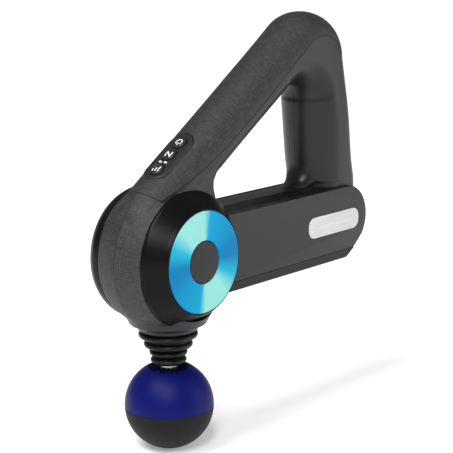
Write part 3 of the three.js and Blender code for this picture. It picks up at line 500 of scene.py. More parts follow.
LIGHT_GUIDE = moulded("light_guide", srgb(240, 242, 246), 0.25)
STEEL = metal("machined_steel", srgb(205, 207, 210), 0.2)
BRONZE = metal("sintered_bronze", srgb(176, 130, 70), 0.4)
COPPER = metal("wound_copper", srgb(190, 110, 60), 0.35)
BOARD = moulded("circuit_board", srgb(24, 92, 52), 0.45)
CELL = moulded("cell_wrap", srgb(40, 100, 170), 0.3)


def weave(name, wrapped):
    """Charcoal moulding with a fine cross-hatched texture, its low threads painted darker as painted shade
    and its raised threads painted lighter as a painted sheen. wrapped lays it round the drum.
    """
    shader = Shader(name, 0.5)
    if wrapped:
        split = shader.nodes.new("ShaderNodeSeparateXYZ")
        shader.link(shader.mapped((1, 1, 1), offset=tuple(-DRUM)), split.inputs[0])
        turn = shader.math("ARCTAN2", split.outputs[2], split.outputs[0])
        along = shader.math("MULTIPLY", turn, DRUM_CROWN_R * MM)
        across = split.outputs[1]
    else:
        split = shader.nodes.new("ShaderNodeSeparateXYZ")
        shader.link(shader.mapped((1, 1, 1), rotation=(0, ARM_ANGLE, 0)), split.inputs[0])
        along = split.outputs[0]
        across = shader.math("ADD", split.outputs[1], shader.math("MULTIPLY", split.outputs[2], 0.8))
    flat = shader.nodes.new("ShaderNodeCombineXYZ")
    shader.link(along, flat.inputs[0])
    shader.link(across, flat.inputs[1])

    def threads(lengthways, pitch, seed):
        stretch = shader.nodes.new("ShaderNodeMapping")
        stretch.inputs["Location"].default_value = (seed, seed, 0)
        long_way, short_way = 1 / (pitch * 14), 1 / pitch
        scale = (long_way, short_way, 1) if lengthways else (short_way, long_way, 1)
        stretch.inputs["Scale"].default_value = scale
        shader.link(flat.outputs[0], stretch.inputs["Vector"])
        return shader.noise(1.0, stretch.outputs[0], detail=2.5)

    warp = threads(True, 0.00042, 3.0)
    weft = threads(False, 0.00042, 11.0)
    height = shader.math("ADD", warp, weft)
    # The colour follows the texture's height: the cross-hatch pattern, with painted shade in the low threads
    # and a painted sheen on the raised ones.
    shader.ramp(
        shader.math("MULTIPLY", height, 0.5),
        [(0.38, srgb(11, 11, 12)), (0.5, srgb(27, 27, 28)), (0.62, srgb(56, 56, 58))],
        "Base Color",
    )
    shader.range(height, 0.36, 0.62, "Roughness")
    shader.bump(height, 0.00016, 0.9)
    return shader.material


GRIP_WEAVE = weave("grip_weave", False)
DRUM_WEAVE = weave("drum_weave", True)


def anodised():
    """Cyan anodised ring whose spun sheen is painted into its colour: two opposite sectors are painted light
    aqua as painted highlights, and the sectors between them painted deep blue as painted dark reflections.
    """
    shader = Shader("anodised_cyan_painted_sheen", 0.42, 0.1, Specular_IOR_Level=0.08)
    split = shader.nodes.new("ShaderNodeSeparateXYZ")
    shader.link(shader.mapped((1, 1, 1), offset=tuple(-DRUM)), split.inputs[0])
    turn = shader.math("ARCTAN2", split.outputs[2], split.outputs[0])
    half_turns = shader.math("DIVIDE", turn, math.pi)
    share = shader.math("FRACT", shader.math("ADD", half_turns, 2.0))
    painted_highlight_aqua, cyan, painted_dark_sector_blue = srgb(136, 204, 196), srgb(6, 148, 190), srgb(4, 116, 168)
    # Painted highlight and painted dark reflection: the colour runs round the ring from deep blue through
    # cyan to light aqua and back, twice in a turn, in place of the spun finish's sheen.
    shader.ramp(
        share,
        [
            (0.0, painted_dark_sector_blue),
            (0.09, painted_dark_sector_blue),
            (0.2, srgb(4, 132, 180)),
            (0.44, cyan),
            (0.5, painted_highlight_aqua),
            (0.74, painted_highlight_aqua),
            (0.86, srgb(30, 168, 196)),
            (1.0, painted_dark_sector_blue),
        ],
        "Base Color",
    )
    radius = shader.math("SQRT", shader.math("ADD", shader.math("POWER", split.outputs[0], 2.0),
                                             shader.math("POWER", split.outputs[2], 2.0)))
    line = shader.nodes.new("ShaderNodeCombineXYZ")
    shader.link(shader.math("MULTIPLY", radius, 9000.0), line.inputs[0])
    grooves = shader.noise(1.0, line.outputs[0], detail=3.0)
    shader.bump(grooves, 0.000006)
    shader.range(grooves, 0.36, 0.5, "Roughness")
    return shader.material


def brushed_plate():
    """Silver plate with fine brushing along its length."""
    shader = Shader("brushed_silver", 0.4, 0.3)
    marks = shader.noise(1400.0, shader.mapped((0.03, 1, 1)), detail=4.0)
    shader.ramp(marks, [(0.3, srgb(176, 176, 176)), (0.7, srgb(206, 206, 206))], "Base Color")
    shader.range(marks, 0.3, 0.46, "Roughness")
    shader.bump(marks, 0.00001)
    return shader.material


ANODISED = anodised()
SILVER = brushed_plate()


# ------------------------------------------------------------------ handle
def smooth_rows(rows, per_step=6, last_straight=False):
    """Rows of numbers with more rows on a smooth curve between them."""
    rows = np.array(rows, float)
    result = []
    for i in range(len(rows) - 1):
        before = rows[max(i - 1, 0)]
        after = rows[min(i + 2, len(rows) - 1)]
        a, b = rows[i], rows[i + 1]
        if last_straight and i == len(rows) - 2:
            result.append(a)
            break
        for k in range(per_step):
            t = k / per_step
            result.append(
                0.5 * (2 * a + (b - before) * t + (2 * before - 5 * a + 4 * b - after) * t**2
                       + (3 * a - before - 3 * b + after) * t**3)
            )
    result.append(rows[-1])
    return result


def smooth_curve(points, per_step=5):
    return [tuple(p) for p in smooth_rows(points, per_step)]


def back_along(angle):
    """How far the handle's back lies from the apex point along a ray, and how squarely the ray meets it."""
    ray = np.array([math.cos(angle), math.sin(angle)])
    slope_touch = CROWN + OUT * CROWN_R - APEX
    rear_touch = CROWN + REAR_OUT * CROWN_R - APEX
    if angle >= math.atan2(slope_touch[1], slope_touch[0]):
        return (ARM_BACK - APEX @ OUT) / (ray @ OUT), ray @ OUT
    if angle <= math.atan2(rear_touch[1], rear_touch[0]):
        return (REAR_BACK_DISTANCE - APEX @ REAR_OUT) / (ray @ REAR_OUT), ray @ REAR_OUT
    offset = CROWN - APEX
    middle = offset @ ray
    distance = middle + math.sqrt(middle**2 - offset @ offset + CROWN_R**2)
    return distance, ray @ (ray * distance - offset) / CROWN_R


# Distance along the arm, distance of the back from the drum's axis, half width.
SLOPE_STATIONS = [
    (-22, 31, 14),
    (-14, 39, 15.2),
    (-5, 43.3, 15.8),
    (5, 44.5, 16),
    (20, ARM_BACK, 16.3),
    (50, ARM_BACK, 16.8),
    (80, ARM_BACK, 17),
    (105, ARM_BACK, 17.4),
]
# Height, edge X, back X, bulge, half width.
REAR_STATIONS = [
    (73.7, 130, 149.42, 17.5, 19.9),
    (60, 132.3, 151.8, 19.1, 19.8),
    (46, 133.4, 154, 19.5, 19.2),
    (36, 134.2, 155.9, 19.5, 18.7),
    (30, 134.6, 158, 19, 18),
    (25, 134.8, 160, 18.5, 17.2),
    (21.5, 134.8, 161.4, 18, 16.4),
    (6, 134.8, 162.2, 18, 15.9),
]
APEX_STEPS = 44
APEX_HALF_WIDTH, REAR_HALF_WIDTH = 17.6, 19.9


def handle_stations():
    """Each station: edge point, direction out of the opening, back, rounding, bulge, half width."""
    stations = []
    for along, back, half_width in smooth_rows(SLOPE_STATIONS):
        rounding = min(SLOPE_ROUNDING, back - ARM_EDGE - 1)
        edge = OUT * ARM_EDGE + ALONG * along
        stations.append((edge, OUT, back - ARM_EDGE, rounding, SLOPE_BULGE, half_width))
    for i in range(APEX_STEPS):
        share = i / APEX_STEPS
        angle = (math.pi / 2 + ARM_ANGLE) * (1 - share)
        out = np.array([math.cos(angle), math.sin(angle)])
        distance, square = back_along(angle)
        stations.append((
            APEX + out * APEX_EDGE_R,
            out,
            distance - APEX_EDGE_R,
            (SLOPE_ROUNDING + (REAR_ROUNDING - SLOPE_ROUNDING) * share) / square,
            SLOPE_BULGE + (APEX_BULGE - SLOPE_BULGE) * share,
            APEX_HALF_WIDTH + (REAR_HALF_WIDTH - APEX_HALF_WIDTH) * share,
        ))
    for z, edge_x, back_x, bulge, half_width in smooth_rows(REAR_STATIONS, last_straight=True):
        out = np.array([1.0, 0.0])
        stations.append((np.array([edge_x, z]), out, back_x - edge_x, REAR_ROUNDING, bulge, half_width))
    return stations


STATIONS = handle_stations()


def handle(inset, steps=28, first=0):
    """The whole handle, moved inwards by inset: a rounded back, flat sides and an inner bulge."""
    rings = []
    for edge, out, back, rounding, bulge, half_width in STATIONS[first:]:
        width = half_width - inset
        ring = []
        for k in range(steps + 1):
            angle = math.pi * k / steps
            depth = back - rounding + (rounding - inset) * math.sin(angle)
            ring.append((*(edge + out * depth), -width * math.cos(angle)))
        for k in range(steps + 1):
            angle = math.pi * k / steps
            depth = -(bulge - inset) * max(math.sin(angle), 0) ** BULGE_POWER
            ring.append((*(edge + out * depth), width * math.cos(angle)))
        rings.append(np.array([(x, y, z) for x, z, y in ring]))
    return skinned("handle", rings)


# The foot of the rear arm runs out along the bar's spine as a tongue: height, reach, half width.
FOOT_X, FOOT_BACK_X = 134.0, 146.0
FOOT = [
    (40, 18.6, 17.9),
    (36, 19.1, 18.2),
    (33, 19.35, 17.6),
    (30, 20, 16.8),
    (27, 21.8, 15.4),
    (25, 24.2, 13.8),
    (23.6, 28, 12),
    (22.6, 33, 10.5),
    (22, 38, 9.5),
]


def foot():
    rings = []
    for z, reach, half_width in smooth_rows(FOOT):
        ring = [(FOOT_BACK_X, half_width, z)]
        for k in range(49):
            angle = math.pi * k / 48
            x = FOOT_X - reach * max(math.sin(angle), 0) ** BULGE_POWER
            ring.append((x, half_width * math.cos(angle), z))
        ring.append((FOOT_BACK_X, -half_width, z))
        rings.append(np.array(ring))
    return skinned("foot", rings)


def crown_radius(y):
    share = abs(y) / DRUM_RIM_Y
    return DRUM_CROWN_R - (DRUM_CROWN_R - DRUM_RIM_R) * (0.45 * share + 0.55 * share**2)


def drum_barrel(inset, reach=BAND_EDGE_Y):
    heights = np.linspace(-reach, reach, 21)
    profile = [(0, -reach)] + [(crown_radius(y) - inset, y) for y in heights] + [(0, reach)]
    return lathe("barrel", profile)


def side_prism(outline, low=-FAR, high=FAR):
    return plate("prism", outline, low, high, place=seen_from_side)


def arm_point(out, along):
    return tuple(OUT * out + ALONG * along)


def grip_region(grow):
    """Side outline of the grip cover's reach, grown for the space that it sits in."""
    edge = ARM_EDGE + 1.9 - grow
    return side_prism([
        arm_point(80, 2.2 - grow),
        arm_point(46, 2.2 - grow),
        arm_point(38.6, 3.8 - grow),
        arm_point(35.2 - grow, 20),
        arm_point(32.4 - grow, 38),
        arm_point(edge + 0.2, 60),
        arm_point(edge, 100),
        *smooth_curve([
            (99.2 + grow * 0.5, 104.2 - grow),
            (108.4, 110.9 - grow),
            (116.6 - grow * 0.2, 113.2 - grow),
            (123.8 - grow * 0.5, 112.2 - grow),
            (130.2 - grow * 0.8, 109.2 - grow * 0.6),
            (135.2 - grow, 103.6),
            (138.4 - grow, 96),
            (141.6 - grow, 82),
            (145.4 - grow, 58),
        ]),
        (150 - grow, 36 - grow),
        (200, 36 - grow),
        (200, 160),
        (60, 200),
    ])


def band_region(grow):
    """Side outline of the drum bands' reach."""
    return side_prism([
        arm_point(60, 1.8 + grow),
        arm_point(46, 1.8 + grow),
        arm_point(38.6, 3.4 + grow),
        arm_point(20, 3.4 + grow),
        (-4, 4),
        (-14.5 + grow, -20),
        (-20.6 + grow, -34),
        (-24 + grow, -46),
        (-80, -46),
        (-80, 40),
    ])


# Outer side of a drum cover, as corners with radii: a cone in front, a dome behind.
FRONT_COVER = [
    (DRUM_RIM_R, COVER_EDGE_Y, 0.5),
    (DRUM_RIM_R - 0.5, COVER_EDGE_Y + 1.6, 1.8),
    (COVER_TOP_R + 1.2, COVER_TOP_Y - 1.7, 3.0),
    (COVER_TOP_R - 0.1, COVER_TOP_Y, 0.5),
]
REAR_COVER = [
    (DRUM_RIM_R, COVER_EDGE_Y, 0.5),
    (37.0, 20.5, 6.0),
    (34.8, 24.5, 4.0),
    (31.6, 26.7, 4.0),
    (29.5, COVER_TOP_Y, 1.0),
]


def cover_tool(side, grow):
    """The space taken by one drum cover."""
    outer = REAR_COVER if side > 0 else FRONT_COVER
    profile = [(0, COVER_EDGE_Y - grow), (DRUM_RIM_R + grow, COVER_EDGE_Y - grow)]
    profile += [(r + grow, y) for r, y, _ in outer[1:]]
    profile.append((0, COVER_TOP_Y))
    return lathe("cover_tool", [(r, side * y) for r, y in profile])


NECK_PROFILE = rounded([
    (0, NECK_Z, 0),
    (15.6, NECK_Z, 0),
    (16.8, NECK_Z + 1.0, 0.9),
    (17.2, NECK_Z + 2.6, 1.5),
    (21.6, NECK_Z + 4.6, 1.6),
    (22.4, NECK_Z + 6.4, 1.0),
    (25, NECK_Z + 11, 0),
    (26, NECK_TOP_Z, 0),
    (0, NECK_TOP_Z, 0),
])


def wider(profile, grow):
    return [(r + grow if r > 0 else 0, z) for r, z in profile]


BAR_SIDE = rounded([
    (8, BAR_FLOOR_Z, 0),
    (151.4, BAR_FLOOR_Z, 2),
    (158.2, -12.6, 4),
    (161.2, -7.4, 6),
    (162.7, 0, 10),
    (162, 6, 8),
    (160, 10.5, 6),
    (156.6, 15, 6),
    (151.5, 18.7, 6),
    (143, BAR_TOP_Z, 3),
    (8, BAR_TOP_Z, 0),
], steps=6)
# The bar's section: a flat spine, and on each side a slope, a crease and a rolled lip.
BAR_SECTION = rounded([
    (-BAR_HALF_WIDTH, BAR_FLOOR_Z, 0),
    (BAR_HALF_WIDTH, BAR_FLOOR_Z, 0),
    (BAR_HALF_WIDTH, BAR_LIP_Z - 0.5, 0.5),
    (15.2, BAR_LIP_Z, 0.8),
    (13.8, 19.8, 0.8),
    (7, BAR_TOP_Z, 3.0),
    (-7, BAR_TOP_Z, 3.0),
    (-13.8, 19.8, 0.8),
    (-15.2, BAR_LIP_Z, 0.8),
    (-BAR_HALF_WIDTH, BAR_LIP_Z - 0.5, 0.5),
], steps=6)
# The bar from above: its end has two rounded corners.
BAR_PLAN = rounded([
    (0, -BAR_HALF_WIDTH, 0),
    (BAR_END_X + BAR_END_R, -BAR_HALF_WIDTH, 8),
    (BAR_END_X + BAR_END_R, BAR_HALF_WIDTH, 8),
    (0, BAR_HALF_WIDTH, 0),
], steps=12)
WEB = rounded([
    (-8, 20, 0),
    (25.5, 16, 0),
    (24.6, 24, 8),
    (23.8, 30.7, 8),
    (22.4, 35.8, 6),
    (22.6, 40, 3),
    (28, 48.6, 0),
    (13, 43.5, 0),
    (-8, 36, 0),
])
WEB_HALF_WIDTH = 15.6

BAR_REACH = 170
VENT_SLITS = (94, 97.6, 101.2, 104.8)
VENT_Y, VENT_LENGTH, VENT_WIDTH = 10.6, 6.6, 1.3
VENT_LOW, VENT_HIGH = 17, 24
COVER_SCREWS = ((42.5, -10.5), (42.5, 10.5), (138, -10.5), (138, 10.5))
SHELL_SEAM, BAND_SEAM = 0.1, 0.12  # half the gap on the middle plane
# The room inside the bar, seen from the side.
ROOM_SIDE = [
    (20, -16.6),
    (148.5, -16.6),
    (155.4, -10.6),
    (158.6, -4),
    (158.6, 6),
    (151, 13),
    (144, 18),
    (20, 18),
]
ROOM_HALF_WIDTH = 13.7
BATTERY_HATCH = (46.5, 128, -12.4, 12.4, -21, -16)  # the hole in the bar's floor: X, Y and Z limits
NECK_BORE_R = 12.3
SOCKET_R, SOCKET_START, SOCKET_END, SOCKET_Z = 4.9, 150, 166, 3.2


def rod_z(radius, low, high, x, y, turns=32):
    outline = arc(x, y, radius, 0, 360 - 360 / turns, turns - 1)
    return plate("rod", outline, low, high, place=seen_from_above)


def rod_x(radius, low, high, y, z, turns=48):
    outline = arc(y, z, radius, 0, 360 - 360 / turns, turns - 1)
    return plate("rod", outline, low, high, place=seen_from_end)


def cover_tools():
    """The space taken by both drum covers and the gap round them."""
    covers, other = cover_tool(1, COVER_GAP), cover_tool(-1, COVER_GAP)
    join(covers, other)
    discard(other)
    return covers


def build_skins():
    """The shells, and the textured grip cover and drum bands that are let into them."""
    covers = cover_tools()
    panel_hole = plate("hole", stadium(PANEL_LENGTH + 0.4, PANEL_WIDTH + 0.4, PANEL_AT), 30, 60, place=on_arm)
    neck = lathe("neck", NECK_PROFILE, "Z")
    neck_space = lathe("neck_space", wider(NECK_PROFILE, GAP), "Z")
    envelope = join(drum_barrel(0), handle(0))
    skin_floor = join(drum_barrel(SKIN), handle(SKIN))
    base = join(drum_barrel(SKIN + GAP), handle(SKIN + GAP))
    skin = cut(copy(envelope, "skin"), skin_floor)

    grip = keep(copy(skin, "grip_cover_skin"), grip_region(0))
    largest(cut(grip, panel_hole, covers))
    dress(grip, GRIP_WEAVE, nodes=["grip_cover"])

    band = keep(copy(skin, "band"), band_region(0))
    cut(band, covers, neck_space)
    for name, low, high in (("front", -BAND_EDGE_Y, -BAND_SEAM), ("rear", BAND_SEAM, BAND_EDGE_Y)):
        half = keep(copy(band, name + "_drum_band_skin"), block(-FAR, FAR, low, high, -FAR, FAR))
        largest(half)
        dress(half, DRUM_WEAVE, nodes=[name + "_drum_band"])

    bar = keep(plate("bar", BAR_SIDE, -BAR_HALF_WIDTH, BAR_HALF_WIDTH, place=seen_from_side),
               plate("bar_ends", BAR_SECTION, 0, BAR_REACH, place=seen_from_end),
               plate("bar_plan", BAR_PLAN, -FAR, FAR, place=seen_from_above))
    web = plate("web", WEB, -WEB_HALF_WIDTH, WEB_HALF_WIDTH, 1.2, 1.2, place=seen_from_side)
    outside = join(cut(envelope, grip_region(GAP), band_region(GAP)), base, bar, web, foot(), neck)
    cavity = lathe("cavity", [(0, -FAR), (DRUM_CAVITY_R, -FAR), (DRUM_CAVITY_R, FAR), (0, FAR)])
    room = plate("room", ROOM_SIDE, -ROOM_HALF_WIDTH, ROOM_HALF_WIDTH, place=seen_from_side)
    hollow = handle(SKIN + GAP + WALL, 12, 14)
    bore = rod_z(NECK_BORE_R, NECK_Z - 1, NECK_TOP_Z, 0, 0, 64)
    well = plate("well", stadium(PANEL_LENGTH - 2, PANEL_WIDTH - 2, PANEL_AT), 34, 60, place=on_arm)
    socket = rod_x(SOCKET_R, SOCKET_START, SOCKET_END, 0, SOCKET_Z)
    cut(outside, cavity, room, hollow, covers, bore, well, panel_hole, socket)
    cut(outside, block(*BATTERY_HATCH))
    for x in VENT_SLITS:
        for y in (-VENT_Y, VENT_Y):
            slit = plate("slit", stadium(VENT_LENGTH, VENT_WIDTH), VENT_LOW, VENT_HIGH,
                         place=lambda u, v, h, x=x, y=y: (x + v, y + u, h))
            cut(outside, slit)
    for name, low, high in (("front_shell", -FAR, -SHELL_SEAM), ("rear_shell", SHELL_SEAM, FAR)):
        half = keep(copy(outside, name + "_moulding"), block(-FAR, FAR, low, high, -FAR, FAR))
        largest(half)
        dress(half, SHELL, nodes=[name])


build_skins()
# The solids that only served as tools go: they ride on no body.
keep_names = {o.name for o in bpy.data.objects if "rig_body" in o or o.name.startswith("body:")}
for leftover in [o for o in bpy.data.objects if o.name not in keep_names]:
    discard(leftover)


# ------------------------------------------------------------------ drum ends
COVER_THICKNESS = 2.9
MOTOR_SCREW_CIRCLE_R, MOTOR_SCREW_HOLE_R = 21.2, 1.4


def drum_end(side, which):
    """Cover, spun ring and hub cap of one drum end."""
    inner = COVER_TOP_Y - COVER_THICKNESS
    cover = rounded([
        (0, inner, 0),
        (26.4, inner, 0),
        (34.8, COVER_EDGE_Y, 0),
        *(REAR_COVER if side > 0 else FRONT_COVER),
        (RING_OUTER_R + 0.25, COVER_TOP_Y, 0.15),
        (RING_OUTER_R + 0.25, RECESS_Y, 0),
        (0, RECESS_Y, 0),
    ], steps=6)
    body = lathe(which + "_drum_cover_cone", [(r, side * y) for r, y in cover])
    if side > 0:
        for degrees in (90, 210, 330):
            turn = math.radians(degrees)
            x, z = MOTOR_SCREW_CIRCLE_R * math.cos(turn), MOTOR_SCREW_CIRCLE_R * math.sin(turn)
            outline = arc(x, z, MOTOR_SCREW_HOLE_R, 0, 345, 23)
            hole = plate("hole", outline, inner - 1, RECESS_Y - 0.2, place=seen_from_side)
            cut(body, hole)
            discard(hole)
    dress(body, COVER, nodes=[which + "_drum_cover"])
    low = RECESS_Y + GAP
    ring = rounded([
        (RING_OUTER_R, low, 0),
        (RING_OUTER_R, RING_FACE_Y, 0.45),
        (RING_INNER_R, RING_FACE_Y, 0.45),
        (RING_INNER_R, low, 0),
    ], steps=4)
    spun = lathe(which + "_spun_ring", [(r, side * y) for r, y in ring])
    dress(spun, ANODISED, nodes=[which + "_accent_ring"], degrees=50)
    edge = RING_INNER_R - GAP
    cap = rounded([
        (0, low, 0),
        (edge, low, 0),
        (edge, RING_FACE_Y - 0.2, 0.5),
        (0, RING_FACE_Y - 0.2, 0),
    ], steps=4)
    button = lathe(which + "_hub_cap_disc", [(r, side * y) for r, y in cap])
    dress(button, HUB, nodes=[which + "_hub_cap"], degrees=50)


drum_end(-1, "front")
drum_end(1, "rear")


# ------------------------------------------------------------------ bar: panels, plate, keel
def panel_outline():
    toe = -38  # degrees round the bar's end
    floor = [(BAR_PARTS_X, BAR_FLOOR_Z), (149.6, BAR_FLOOR_Z), (151.2, BAR_FLOOR_Z + 0.9)]
    end = arc(BAR_END_X, BAR_END_Z, BAR_END_R, toe, 90, 40)
    return floor + end + [(BAR_PARTS_X, BAR_END_R + BAR_END_Z)]


PLATE_X, PLATE_Z = 128.8, -0.6
PLATE_LENGTH, PLATE_HEIGHT, PLATE_CORNER = 50.5, 12.8, 5.6
PLATE_PROUD, PLATE_SUNK, PLATE_RIM = 0.4, 0.7, 0.45


def plate_outline(grow):
    half_length = PLATE_LENGTH / 2 + grow
    half_height = PLATE_HEIGHT / 2 + grow
    corner = PLATE_CORNER + grow
    return rounded([
        (PLATE_X - half_length, PLATE_Z - half_height, corner),
        (PLATE_X + half_length, PLATE_Z - half_height, corner),
        (PLATE_X + half_length, PLATE_Z + half_height, corner),
        (PLATE_X - half_length, PLATE_Z + half_height, corner),
    ], steps=12)


def side_panels():
    covers = cover_tools()
    for which, side in (("front", -1), ("rear", 1)):
        low, high = sorted((side * PANEL_INNER_Y, side * PANEL_Y))
        rounds = (0.7, 0.3) if side < 0 else (0.3, 0.7)
        panel = plate(which + "_side_moulding", panel_outline(), low, high, *rounds, place=seen_from_side)
        cut(panel, covers)
        if side < 0:
            seat = plate("seat", plate_outline(0.3), -PANEL_Y - 1, -PANEL_Y + 1, place=seen_from_side)
            cut(panel, seat)
            discard(seat)
        dress(panel, SHELL, nodes=[which + "_side_panel"])
    discard(covers)


side_panels()
badge = plate(
    "blank_name_plate", plate_outline(0), -PANEL_Y - PLATE_PROUD, -PANEL_Y + PLATE_SUNK, PLATE_RIM, 0,
    place=seen_from_side,
)
dress(badge, SILVER, nodes=["name_plate"], degrees=50)


KEEL_HALF_WIDTH, KEEL_TOP_HALF_WIDTH = 16.5, 18.85
KEEL_TRAY = (46.5, 134, -13, 13, -23.3)  # X and Y limits of the tray, and its floor
DRUM_SPACE_R = 41.8
SCREW_SEAT_R, SCREW_SEAT_DEPTH, SCREW_HOLE_R = 2.9, 1.9, 1.5


def keel():
    """Battery cover: a shallow tray whose sides lean in, with a sloping toe and screw seats."""
    top = BAR_FLOOR_Z - 0.06
    section = rounded([
        (-KEEL_TOP_HALF_WIDTH, top, 0),
        (-KEEL_HALF_WIDTH, KEEL_Z, 0.8),
        (KEEL_HALF_WIDTH, KEEL_Z, 0.8),
        (KEEL_TOP_HALF_WIDTH, top, 0),
    ])
    side = rounded([
        (BAR_PARTS_X, top, 0),
        (BAR_PARTS_X, KEEL_Z, 0),
        (145.2, KEEL_Z, 4),
        (150.3, top, 0),
    ])
    body = plate("battery_cover_moulding", section, BAR_PARTS_X, 160, place=seen_from_end)
    drum = lathe("drum", [
        (0, -COVER_EDGE_Y),
        (DRUM_SPACE_R, -COVER_EDGE_Y),
        (DRUM_SPACE_R, COVER_EDGE_Y),
        (0, COVER_EDGE_Y),
    ])
    covers = cover_tools()
    tools = [drum, covers, block(*KEEL_TRAY, top + 1)]
    keep_part = side_prism(side, -30, 30)
    keep(body, keep_part)
    for x, y in COVER_SCREWS:
        tools.append(rod_z(SCREW_SEAT_R, KEEL_Z - 1, KEEL_Z + SCREW_SEAT_DEPTH, x, y))
        tools.append(rod_z(SCREW_HOLE_R, KEEL_Z, top + 1, x, y))
    cut(body, *tools)
    discard(keep_part, *tools)
    dress(largest(body), KEEL, nodes=["battery_cover"])


keel()


# ------------------------------------------------------------------ control panel, buttons, icons
def control_panel():
    outline = stadium(PANEL_LENGTH, PANEL_WIDTH, PANEL_AT, 28)
    body = plate("control_panel_moulding", outline, 41.8, PANEL_TOP, 0, 0.6, place=on_arm)
    inner = stadium(PANEL_LENGTH - 2.4, PANEL_WIDTH - 2.4, PANEL_AT, 28)
    tools = [plate("tray", inner, PANEL_TOP - 0.5, PANEL_TOP + 1, 0.3, 0, place=on_arm)]
    for along in BUTTONS.values():
        tools.append(plate("hole", arc(along, 0, BUTTON_R + 0.3, 0, 352.5, 47), 40, 50, place=on_arm))
    for y in (-1.8, 1.8):
        bar = rounded([(LIGHTS_AT - 0.55, y - 1.0, 0.2), (LIGHTS_AT + 0.55, y - 1.0, 0.2),
                       (LIGHTS_AT + 0.55, y + 1.0, 0.2), (LIGHTS_AT - 0.55, y + 1.0, 0.2)])
        tools.append(plate("slot", bar, 40, 50, place=on_arm))
    cut(body, *tools)
    discard(*tools)
    dress(body, PANEL, nodes=["control_panel"])


def button(name, along):
    """A round cap with a shallow dish and a flange under the panel."""
    base, top = 40.4, PANEL_TOP + 0.2
    profile = rounded([
        (0, base, 0),
        (BUTTON_R + 0.6, base, 0),
        (BUTTON_R + 0.6, base + 1.1, 0),
        (BUTTON_R, base + 1.1, 0),
        (BUTTON_R, top, 0.5),
        (BUTTON_R - 1.0, top - 0.05, 0.3),
        (BUTTON_R - 1.5, top - 0.28, 0.4),
        (0, top - 0.3, 0),
    ], steps=5)
    rings = []
    for i in range(64):
        angle = 2 * math.pi * i / 64
        rings.append(np.array([
            on_arm(along + r * math.cos(angle), r * math.sin(angle), height) for r, height in profile
        ]))
    cap = skinned(name + "_cap", rings, closed=False)
    dress(cap, BUTTON, body=name, nodes=[name], degrees=50)


ICON_LOW, ICON_HIGH = PANEL_TOP - 0.12, PANEL_TOP


def stroke(points, width):
    """Outline of a line of that width through the points."""
    points = np.array(points, float)
    ahead = np.gradient(points, axis=0)
    ahead /= np.linalg.norm(ahead, axis=1)[:, None]
    normals = np.stack([-ahead[:, 1], ahead[:, 0]], axis=1) * width / 2
    return [tuple(p) for p in np.concatenate([points + normals, (points - normals)[::-1]])]


def icon(name, strokes, body):
    """A printed symbol that rides on its button."""
    parts = [plate("stroke", stroke(points, width), ICON_LOW, ICON_HIGH, place=on_arm)
             for points, width in strokes]
    for part in parts[1:]:
        join(parts[0], part)
        discard(part)
    parts[0].name = name
    dress(parts[0], ICON, body=body)


control_panel()
for button_name, button_along in BUTTONS.items():
    button(button_name, button_along)

POWER, MODE, LEVEL = BUTTONS["power_button"], BUTTONS["mode_button"], BUTTONS["level_button"]
# Each symbol faces a hand that holds the gun: its top points up the arm.
icon("power_symbol", [
    (arc(POWER + 0.1, 0, 1.9, 220, 500, 28), 0.55),
    ([(POWER - 0.3, 0), (POWER - 2.4, 0)], 0.55),
], "power_button")
icon("mode_symbol", [
    ([(MODE - 1.9, -1.7), (MODE + 1.9, -1.7)], 0.6),
    ([(MODE + 1.9, 1.7), (MODE - 1.9, -1.7)], 0.6),
    ([(MODE - 1.9, 1.7), (MODE + 1.9, 1.7)], 0.6),
], "mode_button")
icon("level_symbol", [
    ([(LEVEL - 1.9, y), (LEVEL - 1.9 + length, y)], 0.6)
    for y, length in ((1.9, 1.7), (0.0, 2.7), (-1.9, 3.8))
], "level_button")


# ------------------------------------------------------------------ boot, rod and ball
# Each ring of the boot: outer radius, height, bulge.
BOOT_RINGS = ((16.6, -44.4, 1.7), (13.65, -50.0, 1.7), (10.65, -54.7, 1.5), (10.05, -59.2, 1.5))
BOOT_WALL = 3.4
CRATER_RIM_Z = -63.55


def boot():
    """Rubber bellows: four rounded rings that grow smaller towards the ball."""
    outer = [(14.9, NECK_Z - GAP)]
    for i, (radius, z, bulge) in enumerate(BOOT_RINGS):
        outer += [(radius - bulge * (1 - math.cos(math.radians(a))), z + bulge * math.sin(math.radians(a)))
                  for a in range(70, -71, -10)]
        if i + 1 < len(BOOT_RINGS):
            lower = BOOT_RINGS[i + 1]
            waist = min(radius, lower[0]) - 1.9
            middle = (z - bulge + lower[1] + lower[2]) / 2
            outer.append((waist + 0.15, middle + 0.25))
            outer.append((waist, middle - 0.1))
    outer += [(8.9, -60.9), (5.3, -60.9), (5.3, -58.6)]
    inner = [(radius - BOOT_WALL, z) for radius, z, _ in reversed(BOOT_RINGS[:3])]
    profile = outer + inner + [(12.6, NECK_Z - GAP)]
    body = lathe("boot_bellows", profile, "Z", 96)
    dress(body, RUBBER, body=None, nodes=["boot"], degrees=70)
    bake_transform(body)


def rod():
    """Percussion rod: collar, shoulder, nose with a ring groove."""
    profile = rounded([
        (0, -82, 0),
        (4.5, -82, 0.8),
        (4.5, -76.2, 0),
        (3.5, -76.2, 0),
        (3.5, -73.8, 0),
        (4.5, -73.8, 0),
        (4.5, -66.7, 0),
        (5.5, -66.7, 0.3),
        (5.5, -61.3, 0.5),
        (5.0, -61.3, 0),
        (5.0, -9.5, 0.3),
        (0, -9.5, 0),
    ])
    body = lathe("percussion_rod_turned", profile, "Z", 64)
    dress(body, STEEL, body="rod", nodes=["percussion_rod"], degrees=50)


